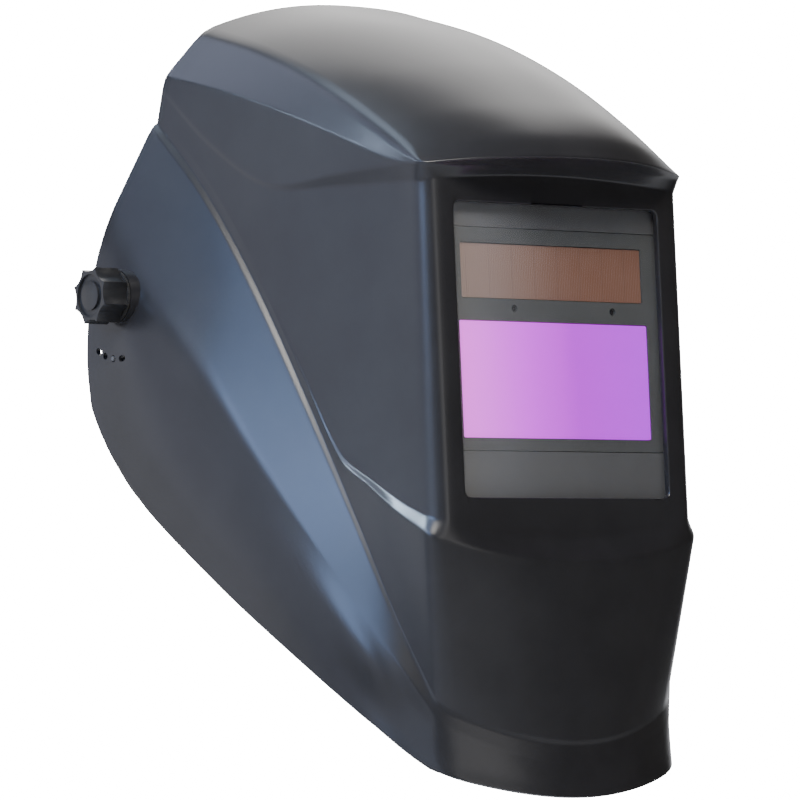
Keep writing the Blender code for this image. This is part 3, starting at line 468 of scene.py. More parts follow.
def make_finishes():
    low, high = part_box("lcd_filter")
    filter_y = (low.y + high.y) / 2 / MM
    finishes = {
        "shell": moulded("shell_black", (0.0165, 0.0160, 0.0170), 0.31, 2600.0, 0.010, 0.02),
        "rubber": make_rubber(), "clear_lens": make_cover_plastic(),
        "holder": moulded("holder_grey", (0.088, 0.088, 0.088), 0.5, 1900.0, 0.004),
        "case": moulded("case_grey", (0.072, 0.074, 0.072), 0.5, 2400.0, 0.004),
        "filter": make_filter_coating(filter_y), "solar": make_solar_finish(),
        "sensor": make_sensor_finish(), "board": make_board_finish(),
        "knob": moulded("knob_black", (0.014, 0.014, 0.0145), 0.34, 2200.0, 0.014),
        "red_button": moulded("button_red", (0.52, 0.03, 0.02), 0.3, 1800.0, 0.01),
        "band": moulded("band_black", (0.022, 0.022, 0.024), 0.46, 1500.0, 0.03),
        "foam": make_towelling("pad_towelling", (0.062, 0.062, 0.068)),
        "fibre": make_fibre(), "steel": make_steel()}
    for row in frame["record"]["subparts"]:
        node = nodes[row["node"]]
        node.data.materials.clear()
        node.data.materials.append(finishes[row["material_slot"]])
    return finishes


# ---------------------------------------------------------------- shell
# Each line runs from the middle of the front to the rear rim: the middle's (y, z), how late the
# front bends back (its power), the round of the line at the front corner, and (half width, y, z)
# points from the front corner to the rim.
SHELL_LINES = {
    "brow_edge": ((-176.0, 40.5), 2.2, 3.0, ((68.4, -153.8, 38.6), (69.7, -123.5, 59.6),
                  (71.2, -88.0, 81.6), (72.9, -51.3, 99.1), (74.4, -16.7, 111.7))),
    "facet_edge": ((-171.0, 39.4), 2.4, 3.0, ((68.3, -153.3, 38.0), (70.2, -139.0, 41.0),
                   (75.0, -104.6, 56.7), (78.9, -75.6, 69.3), (82.9, -46.0, 80.7),
                   (88.0, -7.8, 93.2))),
    "wedge_top": ((-163.0, 37.8), 3.5, 3.0, ((68.1, -152.9, 37.2), (70.1, -138.0, 39.3),
                  (75.0, -106.0, 39.6), (80.8, -68.0, 40.4), (85.3, -35.0, 61.0),
                  (88.8, -6.2, 88.0))),
    "wedge_low": ((-154.7, 36.0), 24.0, 4.0, ((66.8, -151.2, 31.6), (68.4, -138.0, 32.6),
                  (73.6, -106.0, 34.8), (80.4, -68.0, 38.4), (85.1, -35.0, 58.6),
                  (88.9, -5.6, 86.0))),
    "shelf_top": ((-154.7, -111.4), 24.0, 5.0, ((67.4, -150.9, -103.7), (70.3, -133.7, -94.9),
                  (72.9, -118.0, -85.1), (75.6, -103.0, -74.0), (78.6, -82.0, -36.0),
                  (82.4, -57.0, 10.0), (86.2, -29.0, 50.0), (89.7, -3.4, 76.0))),
    "shelf_lip": ((-160.8, -121.2), 2.6, 5.0, ((69.8, -152.0, -110.4), (71.9, -135.0, -100.3),
                  (74.4, -119.5, -88.1), (76.2, -104.0, -77.0), (78.7, -83.0, -40.0),
                  (82.3, -57.5, 6.0), (86.1, -29.5, 47.0), (89.8, -3.1, 75.2))),
    "ridge_top": ((-154.8, -193.0), 2.2, 6.0, ((60.2, -140.5, -177.0), (68.2, -127.8, -144.6),
                  (74.2, -109.9, -101.0), (78.2, -84.2, -49.1), (82.1, -57.6, 0.2),
                  (86.1, -29.6, 42.6), (89.9, -2.7, 73.9))),
    "ridge_low": ((-154.3, -195.0), 2.2, 6.0, ((60.1, -140.3, -179.0), (68.8, -127.8, -147.0),
                  (75.4, -109.9, -104.0), (79.9, -84.0, -52.0), (84.1, -57.3, -2.5),
                  (88.2, -29.2, 40.2), (92.2, -1.8, 71.6))),
    "crease": ((-154.6, -202.5), 2.2, 6.0, ((59.9, -140.3, -184.0), (70.4, -129.6, -161.0),
               (83.0, -103.4, -120.1), (95.6, -71.4, -72.3), (103.4, -45.7, -34.9),
               (107.2, -18.0, -6.0), (108.6, 12.4, 30.0))),
    "panel_high": ((-155.4, -207.0), 2.2, 6.0, ((59.8, -140.5, -190.0), (67.5, -130.8, -176.0),
                   (79.0, -118.5, -156.0), (91.2, -86.0, -115.0), (102.8, -45.0, -65.0),
                   (110.2, -10.0, -28.0), (112.0, 18.6, 4.0))),
    "panel_low": ((-156.2, -211.5), 2.2, 6.0, ((59.5, -141.2, -198.0), (67.5, -130.5, -188.0),
                  (78.5, -115.0, -170.0), (90.6, -84.0, -135.0), (100.5, -44.0, -95.0),
                  (107.8, -10.0, -62.0), (112.6, 22.4, -24.0))),
    "rim": ((-157.0, -215.7), 2.2, 6.0, ((58.5, -143.0, -205.5), (64.0, -135.6, -201.5),
            (77.0, -117.4, -183.0), (88.0, -82.0, -154.0), (96.0, -42.0, -122.6),
            (104.0, 3.5, -82.5), (109.0, 19.0, -57.0), (111.0, 23.0, -45.0))),
}
# Rows between each line and the next, and the round along each line: on the front, on the side.
SHELL_ROWS = {"brow_edge": 9, "facet_edge": 8, "wedge_top": 4, "wedge_low": 26, "shelf_top": 5,
              "shelf_lip": 14, "ridge_top": 2, "ridge_low": 14, "crease": 9, "panel_high": 8,
              "panel_low": 8}
SHELL_ROUNDS = {"brow_edge": (1.0, 3.2), "facet_edge": (0.8, 0.8), "wedge_top": (0.8, 1.0),
                "wedge_low": (0.8, 1.0), "shelf_top": (1.6, 0.7), "shelf_lip": (1.4, 0.8),
                "ridge_top": (0.6, 0.6), "ridge_low": (0.6, 0.8), "crease": (1.0, 1.0),
                "panel_high": (0, 0), "panel_low": (0, 0)}
SMOOTH_GROUP = ("crease", "panel_high", "panel_low", "rim")
SHELL_CROWN = ((-176.0, 40.5), (-167.0, 51.5), (-150.0, 66.0), (-118.0, 87.5), (-75.0, 109.0),
               (-26.0, 125.5))
CROWN_POWER = 2.4
FRONT_COUNT = 24
SIDE_COUNT = 46
CORNER_COUNT = 6                 # steps round the front corner
ROUND_COUNT = 4                  # steps round each line


def along(points, t):
    """Point at the fraction t of the length of a smooth line through the points."""
    pts = [Vector(p) for p in points]
    steps = [0.0]
    for a, b in zip(pts, pts[1:]):
        steps.append(steps[-1] + (b - a).length)
    at = t * steps[-1]
    i = max(k for k in range(len(pts) - 1) if steps[k] <= at + 1e-9)
    u = (at - steps[i]) / (steps[i + 1] - steps[i])
    before = pts[i - 1] if i else pts[0] * 2 - pts[1]
    after = pts[i + 2] if i + 2 < len(pts) else pts[-1] * 2 - pts[-2]
    reach = steps[i + 1] - steps[i]
    left = (pts[i + 1] - before) * reach / (reach + (pts[i] - before).length)
    right = (after - pts[i]) * reach / (reach + (after - pts[i + 1]).length)
    h = u * u * (3 - 2 * u)
    bend = (u ** 3 - 2 * u * u + u) * left + (u ** 3 - u * u) * right
    return pts[i] * (1 - h) + pts[i + 1] * h + bend


def length_of(points):
    return sum((Vector(b) - Vector(a)).length for a, b in zip(points, points[1:]))


def curved(a, corner, b, u):
    """Point of the round that replaces a corner."""
    return a * (1 - u) ** 2 + corner * 2 * u * (1 - u) + b * u * u


def front_point(middle, power, corner, share):
    (y, z), (w, corner_y, corner_z) = middle, corner
    bend = share ** power
    return Vector((w * share, y + (corner_y - y) * bend, z + (corner_z - z) * share * share))


def shell_line(name):
    """Half of a shell line, dense, with its front corner rounded."""
    middle, power, round_r, side = SHELL_LINES[name]
    corner = Vector(side[0])
    last = 1 - round_r / side[0][0]
    first = round_r / length_of(side)
    shares = [last * (1 - (1 - i / FRONT_COUNT) ** 1.3) for i in range(FRONT_COUNT + 1)]
    line = [front_point(middle, power, side[0], share) for share in shares]
    start, end = line[-1], along(side, first)
    line += [curved(start, corner, end, i / CORNER_COUNT) for i in range(1, CORNER_COUNT)]
    steps = [(j / SIDE_COUNT) ** 1.15 for j in range(SIDE_COUNT + 1)]
    return line + [along(side, first + (1 - first) * t) for t in steps]


CORNER_AT = FRONT_COUNT + CORNER_COUNT // 2


def line_round(name, column):
    """Round along a line at a column: the front's, then the side's, blended over the corner."""
    front, side = SHELL_ROUNDS[name]
    share = min(max((column - FRONT_COUNT + 2) / (CORNER_COUNT + 4), 0.0), 1.0)
    value = front + (side - front) * share
    if name == "crease":
        value += 14.0 * max(0.0, (column - CORNER_AT) / SIDE_COUNT - 0.45)
    return value


def strip_point(lines, k, column, t):
    """Point between line k and the next at a column, straight or on the smooth lower panel."""
    names = list(SHELL_LINES)
    if names[k] not in SMOOTH_GROUP:
        return lines[k][column].lerp(lines[k + 1][column], t)
    first = names.index(SMOOTH_GROUP[0])
    points = [lines[i][column] for i in range(first, len(names))]
    spans = [(b - a).length for a, b in zip(points, points[1:])]
    at = (sum(spans[:k - first]) + spans[k - first] * t) / sum(spans)
    return along(points, min(at, 1.0))


def crown_point(t, share):
    """Point of the crown: t runs from the brow back to the rim, share from the middle out."""
    side = SHELL_LINES["brow_edge"][3]
    end = along(side, t)
    middle = along([(0, y, z) for y, z in SHELL_CROWN], t)
    bend = share ** CROWN_POWER
    point = Vector((end.x * share, middle.y + (end.y - middle.y) * bend,
                    middle.z + (end.z - middle.z) * bend))
    fade = max(0.0, 1 - t / 0.2) ** 2
    if fade:
        brow = front_point(*SHELL_LINES["brow_edge"][:2], side[0], share)
        start = Vector((side[0][0] * share, SHELL_CROWN[0][0] + (side[0][1] - SHELL_CROWN[0][0]) * bend,
                        SHELL_CROWN[0][1] + (side[0][2] - SHELL_CROWN[0][1]) * bend))
        point += (brow - start) * fade
    return point


def crown_grid(line):
    """Rows of the crown, kept clear of the brow edge by the edge's round."""
    front_r, side_r = SHELL_ROUNDS["brow_edge"]
    side = SHELL_LINES["brow_edge"][3]
    width = line[CORNER_AT].x
    shares = [p.x / width for p in line[:CORNER_AT + 1]]
    first = 1.2 * front_r / length_of([(0, y, z) for y, z in SHELL_CROWN])
    rows = []
    run = 0.0
    total = sum((b - a).length for a, b in zip(line[CORNER_AT:], line[CORNER_AT + 1:]))
    for k in range(CORNER_AT, len(line)):
        if k > CORNER_AT:
            run += (line[k] - line[k - 1]).length
        inset = front_r + (side_r - front_r) * min(run / 12.0, 1.0)
        t = first + (1 - first) * run / total
        reach = 1 - inset / along(side, t).x
        rows.append([crown_point(t, share * reach) for share in shares])
    return rows


def mirrored(points):
    return [Vector((-p.x, p.y, p.z)) for p in reversed(points[1:])] + points


def shell_skin():
    """Outer skin: rows of points down the front and sides, the crown, and the rounds' spans."""
    names = list(SHELL_LINES)
    lines = [shell_line(name) for name in names]
    crown = crown_grid(lines[0])
    brow_side = [row[-1] for row in crown]
    brow = crown[0] + brow_side[1:]
    columns = len(lines[0])
    half_rows = [brow]
    spans = []
    for k, name in enumerate(names[:-1]):
        radius = [line_round(name, c) for c in range(columns)]
        after = [line_round(names[k + 1], c) if names[k + 1] in SHELL_ROUNDS else 0.0
                 for c in range(columns)]
        gaps = [(lines[k + 1][c] - lines[k][c]).length for c in range(columns)]
        start = [min(r / max(g, 1e-6), 0.42) for r, g in zip(radius, gaps)]
        end = [1 - min(r / max(g, 1e-6), 0.42) for r, g in zip(after, gaps)]
        strip = []
        for i in range(SHELL_ROWS[name] + 1):
            u = i / SHELL_ROWS[name]
            strip.append([strip_point(lines, k, c, start[c] + (end[c] - start[c]) * u)
                          for c in range(columns)])
        if name in SMOOTH_GROUP[1:]:
            half_rows += strip[1:]
            continue
        above = half_rows[-1]
        first = len(half_rows) - 1
        for i in range(1, ROUND_COUNT):
            u = i / ROUND_COUNT
            half_rows.append([curved(a, p, b, u) for a, p, b in zip(above, lines[k], strip[0])])
        half_rows += strip
        spans.append((first, first + ROUND_COUNT))
    return half_rows, crown, spans


def join_rows(bm, grid):
    """Quads between each row of points and the next."""
    for low, high in zip(grid, grid[1:]):
        for corners in zip(low, low[1:], high[1:], high):
            bm.faces.new(corners)


def add_rows(bm, rows):
    grid = [[bm.verts.new(p) for p in row] for row in rows]
    join_rows(bm, grid)
    return grid


def crown_mesh(bm, crown, brow_verts):
    """Faces of the crown, sharing the brow row's points along its front and its two sides."""
    width = 2 * len(crown[0]) - 1
    start = (len(brow_verts) - width) // 2
    grid = [brow_verts[start:start + width]]
    for k, row in enumerate(crown[1:], 1):
        verts = [bm.verts.new(p) for p in mirrored(row)[1:-1]]
        grid.append([brow_verts[start - k]] + verts + [brow_verts[start + width - 1 + k]])
    join_rows(bm, grid)


def thicken_skin(bm, grid, spans, depth):
    """Second skin inside the first, closed round the rim; tight rounds inside become creases."""
    bm.normal_update()
    outer = list(bm.verts)
    inner = {v: bm.verts.new(v.co - v.normal * depth * min(v.calc_shell_factor(), 1.6))
             for v in outer}
    for first, last in spans:
        for column in range(len(grid[0])):
            stack = [grid[i][column] for i in range(first, last + 1)]
            a, b = inner[stack[0]], inner[stack[-1]]
            if (b.co - a.co).dot(stack[-1].co - stack[0].co) < 0:
                middle = (a.co + b.co) / 2
                for v in stack:
                    inner[v].co = middle
    faces = list(bm.faces)
    rims = [e for e in bm.edges if e.is_boundary]
    for face in faces:
        bm.faces.new([inner[v] for v in reversed(face.verts)])
    for edge in rims:
        loop = edge.link_loops[0]
        a, b = loop.vert, loop.link_loop_next.vert
        bm.faces.new((b, a, inner[a], inner[b]))
    return rims


def new_piece(name, bm, finish, angle=32):
    """Mesh in millimetres made an object in metres, shaded smooth up to the angle."""
    bmesh.ops.scale(bm, vec=(MM, MM, MM), verts=bm.verts)
    mesh = bpy.data.meshes.new(name)
    bm.to_mesh(mesh)
    bm.free()
    piece = bpy.data.objects.new(name, mesh)
    bpy.context.collection.objects.link(piece)
    if finish:
        mesh.materials.append(finish)
    mesh.shade_smooth()
    mesh.set_sharp_from_angle(angle=math.radians(angle))
    return piece


def only(piece):
    """Makes the piece the one that is selected and active."""
    bpy.ops.object.select_all(action="DESELECT")
    piece.select_set(True)
    bpy.context.view_layer.objects.active = piece


def apply_modifiers(piece):
    only(piece)
    for modifier in list(piece.modifiers):
        bpy.ops.object.modifier_apply(modifier=modifier.name)


def combine(piece, other, operation):
    """Boolean with another piece, which is used up."""
    boolean = piece.modifiers.new("Combine", "BOOLEAN")
    boolean.operation = operation
    boolean.solver = "MANIFOLD"
    boolean.object = other
    apply_modifiers(piece)
    bpy.data.objects.remove(other, do_unlink=True)


def rounded(width, height, radius, centre=(0, 0), steps=6):
    points = []
    for quarter, (sx, sy) in enumerate(((1, 1), (-1, 1), (-1, -1), (1, -1))):
        for i in range(steps + 1):
            a = math.pi / 2 * (quarter + i / steps)
            points.append((centre[0] + sx * (width / 2 - radius) + radius * math.cos(a),
                           centre[1] + sy * (height / 2 - radius) + radius * math.sin(a)))
    return points


def circle(radius, sides=48, centre=(0, 0)):
    turn = [math.tau * i / sides for i in range(sides)]
    return [(centre[0] + radius * math.cos(a), centre[1] + radius * math.sin(a)) for a in turn]


def prism(bm, outline, axis, low, high):
    """Closed outline extruded along the axis, added to the mesh."""
    lay = {"X": lambda u, v, h: (h, u, v), "Y": lambda u, v, h: (u, h, v),
           "Z": lambda u, v, h: (u, v, h)}[axis]
    face = bm.faces.new([bm.verts.new(lay(u, v, low)) for u, v in outline])
    raised = bmesh.ops.extrude_face_region(bm, geom=[face])["geom"]
    top = [v for v in raised if isinstance(v, bmesh.types.BMVert)]
    bmesh.ops.translate(bm, vec=lay(0, 0, high - low), verts=top)
    bmesh.ops.recalc_face_normals(bm, faces=bm.faces)


def arc_slot(start, end, half_width=STOP_HALF_WIDTH, radius=STOP_R, steps=5):
    """Curved slot about the tilt axis between two angles from straight down to the back."""
    def at(r, a):
        return (r * math.sin(a), -r * math.cos(a))

    a, b = math.radians(start), math.radians(end)
    outline = [at(radius + half_width, a + (b - a) * i / steps) for i in range(steps + 1)]
    for centre, facing in ((b, 1), (a, -1)):
        middle = Vector(at(radius, centre))
        out = Vector((math.sin(centre), -math.cos(centre)))
        way = Vector((math.cos(centre), math.sin(centre)))
        for i in range(1, steps):
            turn = math.pi * i / steps
            outline.append(middle + half_width * facing * (out * math.cos(turn) + way * math.sin(turn)))
        if facing > 0:
            outline += [at(radius - half_width, b + (a - b) * i / steps) for i in range(steps + 1)]
    return outline


def round_window(shell):
    """Small round on the front edge of the window opening."""
    half_x, half_z = WINDOW[0] / 2, WINDOW[1] / 2

    def on_edge(vertex):
        x, y, z = vertex.co / MM
        far = max(abs(x) - half_x, abs(z - WINDOW_Z) - half_z)
        return y < FACE_Y + 1.0 and -1.5 < far < 0.02

    bm = bmesh.new()
    bm.from_mesh(shell.data)
    edges = [e for e in bm.edges if all(on_edge(v) for v in e.verts) and len(e.link_faces) == 2
             and e.calc_face_angle() > math.radians(60)]
    bmesh.ops.bevel(bm, geom=edges, offset=0.6 * MM, segments=3, affect="EDGES", profile=0.5,
                    clamp_overlap=False)
    bm.to_mesh(shell.data)
    bm.free()


def make_shell(finish):
    half_rows, crown, spans = shell_skin()
    bm = bmesh.new()
    grid = add_rows(bm, [mirrored(row) for row in half_rows])
    crown_mesh(bm, crown, grid[0])
    bmesh.ops.recalc_face_normals(bm, faces=bm.faces)
    if sum(f.normal.dot(f.calc_center_median() - Vector((0, 0, -40))) for f in bm.faces) < 0:
        bmesh.ops.reverse_faces(bm, faces=bm.faces)
    rims = thicken_skin(bm, grid, spans, WALL)
    bmesh.ops.bevel(bm, geom=rims, offset=0.5, segments=2, affect="EDGES", profile=0.5)
    bmesh.ops.remove_doubles(bm, verts=bm.verts, dist=0.002)
    shell = new_piece("helmet_shell_skin", bm, finish)
    added = bmesh.new()
    for _, s in SIDES:
        low, high = sorted(s * x for x in BOSS_X)
        prism(added, circle(BOSS_R), "X", low, high)
    combine(shell, new_piece("bosses", added, finish), "UNION")
    taken = bmesh.new()
    prism(taken, rounded(*WINDOW, 3.0, (0, WINDOW_Z)), "Y", -170, -140)
    prism(taken, circle(BOLT_BORE_R), "X", -130, 130)
    for start, end in STOP_SLOTS:
        prism(taken, arc_slot(start, end), "X", -125, -95)
    for angle in STOP_HOLES:
        a = math.radians(angle)
        centre = (STOP_R * math.sin(a), -STOP_R * math.cos(a))
        prism(taken, circle(STOP_HOLE_R, 16, centre), "X", -125, -95)
    combine(shell, new_piece("cuts", taken, finish), "DIFFERENCE")
    round_window(shell)
    shell.data.set_sharp_from_angle(angle=math.radians(30))
    return shell


def stand_for(piece, body, slot, *replaced):
    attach(piece, body)
    if replaced:
        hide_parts(*replaced)


# ---------------------------------------------------------------- hand-modelling helpers
def pick_faces(piece, test):
    """Edit mode with the faces selected whose centre and normal pass the test."""
    only(piece)
    bpy.context.tool_settings.mesh_select_mode = (False, False, True)
    bpy.ops.object.mode_set(mode="EDIT")
    bpy.ops.mesh.select_all(action="DESELECT")
    bpy.ops.object.mode_set(mode="OBJECT")
    for face in piece.data.polygons:
        face.select = test(face.center, face.normal)
    bpy.ops.object.mode_set(mode="EDIT")


def round_edges(piece, width, segments=2, angle=38):
    bevel = piece.modifiers.new("Edges", "BEVEL")
    bevel.width = width * MM
    bevel.segments = segments
    bevel.limit_method = "ANGLE"
    bevel.angle_limit = math.radians(angle)
    apply_modifiers(piece)


def finish_piece(piece, finish, angle=34):
    """Place applied to the mesh, then the finish and smooth shading."""
    only(piece)
    bpy.ops.object.transform_apply(location=True, rotation=True, scale=True)
    piece.data.materials.clear()
    piece.data.materials.append(finish)
    bpy.ops.object.shade_smooth_by_angle(angle=math.radians(angle))


def eased(profile, radius):
    """Profile with its inner corners rounded."""
    points = [Vector(p) for p in profile]
    line = [points[0]]
    for before, corner, after in zip(points, points[1:], points[2:]):
        a, b = before - corner, after - corner
        start = corner + a.normalized() * min(radius, a.length * 0.45)
        end = corner + b.normalized() * min(radius, b.length * 0.45)
        line += [curved(start, corner, end, i / 3) for i in range(4)]
    return line + [points[-1]]


def turned(name, profile, axis, centre, finish, sides=48):
    """Profile of (radius, height) points spun round an axis through the centre."""
    lay = {"X": lambda r, h: (h, r, 0), "Y": lambda r, h: (r, h, 0), "Z": lambda r, h: (r, 0, h)}
    middle = Vector(centre) * MM
    points = [middle + Vector(lay[axis](*p)) * MM for p in profile]
    mesh = bpy.data.meshes.new(name)
    mesh.from_pydata(points, [(i, i + 1) for i in range(len(points) - 1)], [])
    piece = bpy.data.objects.new(name, mesh)
    bpy.context.collection.objects.link(piece)
    only(piece)
    bpy.ops.object.mode_set(mode="EDIT")
    bpy.ops.mesh.select_all(action="SELECT")
    bpy.ops.mesh.spin(steps=sides, angle=math.tau, center=middle,
                      axis=[float(axis == letter) for letter in "XYZ"])
    bpy.ops.mesh.select_all(action="SELECT")
    bpy.ops.mesh.remove_doubles(threshold=0.000005)
    bpy.ops.mesh.normals_make_consistent(inside=False)
    bpy.ops.object.mode_set(mode="OBJECT")
    finish_piece(piece, finish)
    return piece


def rod(radius, axis, centre, low, high, sides=32):
    """Plain round cutter along an axis."""
    middle = Vector(centre)
    middle["XYZ".index(axis)] = (low + high) / 2
    turn = {"X": (0, math.pi / 2, 0), "Y": (math.pi / 2, 0, 0), "Z": (0, 0, 0)}[axis]
    bpy.ops.object.select_all(action="DESELECT")
    bpy.ops.mesh.primitive_cylinder_add(vertices=sides, radius=radius * MM, depth=(high - low) * MM,
                                        location=middle * MM, rotation=turn)
    return bpy.context.object


def scallop(piece, count, ring, radius, axis, centre, low, high, turn=0.0):
    """Hollow flutes cut round a knob."""
    for k in range(count):
        a = math.tau * k / count + turn
        u, v = ring * math.cos(a), ring * math.sin(a)
        middle = Vector(centre) + Vector((0, u, v) if axis == "X" else (u, 0, v))
        combine(piece, rod(radius, axis, middle, low, high), "DIFFERENCE")


def softened(node_name, finish, width, body, slot):
    """Copy of a frame piece with its flats joined up and its edges rounded."""
    source = nodes[node_name]
    piece = bpy.data.objects.new(node_name + "_moulded", source.data.copy())
    bpy.context.collection.objects.link(piece)
    piece.matrix_world = source.matrix_world
    bm = bmesh.new()
    bm.from_mesh(piece.data)
    bmesh.ops.remove_doubles(bm, verts=bm.verts, dist=0.00001)
    bmesh.ops.dissolve_limit(bm, angle_limit=math.radians(1.0), verts=bm.verts, edges=bm.edges)
    bm.to_mesh(piece.data)
    bm.free()
    round_edges(piece, width)
    finish_piece(piece, finish)
    stand_for(piece, body, slot, node_name)


# ---------------------------------------------------------------- tension knobs and pivots
KNOB_FLUTES = 8
FLUTE_R = 8.64
FLUTE_RING = 18.54
KNOB_GROOVE = (6.1, 8.9, 1.2)


def make_tension_knob(side, s, finish):
    """Eight-pointed knob with hollow flutes, a ring groove and a flat centre."""
    middle = s * (KNOB_X[0] + KNOB_X[1]) / 2 * MM
    bpy.ops.object.select_all(action="DESELECT")
    bpy.ops.mesh.primitive_cylinder_add(vertices=96, radius=KNOB_R * MM,
                                        depth=(KNOB_X[1] - KNOB_X[0]) * MM,
                                        location=(middle, 0, 0), rotation=(0, s * math.pi / 2, 0))
    knob = bpy.context.object
    inner, outer, depth = KNOB_GROOVE
    pick_faces(knob, lambda centre, normal: normal.z > 0.9)
    bpy.ops.mesh.inset(thickness=(KNOB_R - outer) * MM)
    bpy.ops.mesh.inset(thickness=(outer - inner) * MM)
    bpy.ops.object.mode_set(mode="OBJECT")
    pick_faces(knob, lambda centre, normal:
               normal.z > 0.9 and inner < math.hypot(centre.x, centre.y) / MM < outer)
    bpy.ops.mesh.extrude_region_move(TRANSFORM_OT_translate={"value": (-s * depth * MM, 0, 0)})
    bpy.ops.object.mode_set(mode="OBJECT")
    scallop(knob, KNOB_FLUTES, FLUTE_RING, FLUTE_R, "X", (0, 0, 0), *sorted((s * 112, s * 128)))
    combine(knob, rod(BOLT_BORE_R, "X", (0, 0, 0), *sorted((s * 110, s * 121.6))), "DIFFERENCE")
    round_edges(knob, 0.35)
    knob.name = f"tension_knob_moulded_{side}"
    finish_piece(knob, finish)
    stand_for(knob, f"knob_{side}", "knob", f"tension_knob_{side}")


def make_pivot(side, s, finishes):
    make_tension_knob(side, s, finishes["knob"])
    head = BAND_X - 4.4
    profile = ((0, head), (7.0, head), (9.0, head + 1.4), (9.0, head + 3.2), (4.0, head + 3.2),
               (4.0, 120.4), (3.3, 121.2), (0, 121.2))
    bolt = turned(f"pivot_bolt_turned_{side}", [(r, s * x) for r, x in eased(profile, 0.5)], "X",
                  (0, 0, 0), finishes["steel"])
    stand_for(bolt, "pivot_carriage", "steel", f"pivot_bolt_{side}")
    softened(f"slide_block_{side}", finishes["knob"], 0.5, "pivot_carriage", "knob")


# ---------------------------------------------------------------- headgear
def band_point(u, offset=0.0):
    """Point of the band's left half in plan: 0-1 brow, 1-2 temple arm, 2-3 nape, then past it."""
    if 1 <= u <= 2:
        return Vector((BAND_X + offset, BAND_FLAT_Y * (2 * u - 3)))
    front = u < 1
    reach = -BAND_FLAT_Y - BAND_FRONT_Y if front else BAND_REAR_Y - BAND_FLAT_Y
    a = math.radians(90 * (u if front else 3 - u))
    way = -1 if front else 1
    normal = Vector((math.sin(a) / BAND_X, way * math.cos(a) / reach)).normalized()
    centre = Vector((BAND_X * math.sin(a), way * (BAND_FLAT_Y + reach * math.cos(a))))
    return centre + normal * offset


def band_z(y):
    return BAND_Z0 + BAND_TILT * y


def on_band(u, rise, offset=0.0, s=1):
    x, y = band_point(abs(u), offset)
    return Vector((x * (s if u >= 0 else -s), y, band_z(y) + rise))


def spread(start, end, steps):
    return [start + (end - start) * i / steps for i in range(steps + 1)]


def strip(name, rows, thickness, finish, edge=0.3, segments=2):
    """Moulded strip: a grid of points given its thickness, with rounded edges."""
    bm = bmesh.new()
    add_rows(bm, rows)
    bmesh.ops.remove_doubles(bm, verts=bm.verts, dist=0.01)
    bmesh.ops.recalc_face_normals(bm, faces=bm.faces)
    piece = new_piece(name, bm, finish)
    wall = piece.modifiers.new("Wall", "SOLIDIFY")
    wall.thickness = thickness * MM
    wall.offset = 0.0
    wall.use_even_offset = True
    apply_modifiers(piece)
    if edge:
        round_edges(piece, edge, segments, 50)
    return piece


def rounded_rows(low_u, high_u, half, corner, offset, rows=14, columns=30):
    """Rows of a curved panel on the band whose four corners are rounded."""
    per_mm = 2 / (math.pi * BAND_X)
    grid = []
    for i in range(rows + 1):
        rise = half * math.sin(math.pi / 2 * (2 * i / rows - 1))
        deep = max(0.0, abs(rise) - (half - corner)) / corner
        cut = corner * (1 - math.sqrt(max(0.0, 1 - deep * deep))) * per_mm
        grid.append([on_band(u, rise, offset) for u in spread(low_u + cut, high_u - cut, columns)])
    return grid


def make_headband(finishes):
    end = 2.22
    stops = spread(-end, -1, 20) + spread(-1, 1, 60)[1:] + spread(1, end, 20)[1:]
    rows = [[on_band(u, rise) for u in stops] for rise in (-BAND_H / 2, 0.0, BAND_H / 2)]
    band = strip("headband_moulded", rows, 1.6, finishes["band"], 0.45, 2)
    for _, s in SIDES:
        low, high = sorted((s * 75, s * 90))
        taken = bmesh.new()
        prism(taken, rounded(26.4, 8.8, 4.3), "X", low, high)
        for y in (STRAP_Y, BAND_STUD_Y):
            prism(taken, circle(STUD_HOLE_R, 24, (y, band_z(y))), "X", low, high)
        combine(band, new_piece("arm_cuts", taken, finishes["band"]), "DIFFERENCE")
    finish_piece(band, finishes["band"])
    stand_for(band, "headgear", "band", "headband")


def rack_edge(u, wide, narrow, tooth):
    share = min(max((u - 2.48) / 0.2, 0.0), 1.0)
    share = share * share * (3 - 2 * share)
    return wide + (narrow - wide) * share + (tooth if share == 1.0 else 0.0)


def make_rear_band(side, s, finishes):
    """Rear band: wide at its stud, then a narrow rack of square teeth through the ratchet."""
    half = 9.5
    plain = spread(2.06, 2.68, 40)
    teeth = spread(2.684, 3.26, 104)
    low_row, high_row = [], []
    for k, u in enumerate(plain + teeth):
        cut = 0.7 if k > len(plain) and (k - len(plain)) % 4 < 2 else 0.0
        if side == "left":
            low, high = rack_edge(u, -half, RACK[0], cut), rack_edge(u, half, RACK[1], 0.0)
        else:
            low, high = rack_edge(u, -half, -RACK[1], 0.0), rack_edge(u, half, -RACK[0], -cut)
        low_row.append(on_band(u, low, REAR_BAND_OUT, s))
        high_row.append(on_band(u, high, REAR_BAND_OUT, s))
    band = strip(f"rear_band_moulded_{side}", [low_row, high_row], 1.2, finishes["band"], 0.0)
    low, high = sorted((s * 75, s * 90))
    hole = rod(STUD_HOLE_R, "X", (0, BAND_STUD_Y, band_z(BAND_STUD_Y)), low, high)
    combine(band, hole, "DIFFERENCE")
    finish_piece(band, finishes["band"])
    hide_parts(f"rear_band_{side}")
    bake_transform(band)


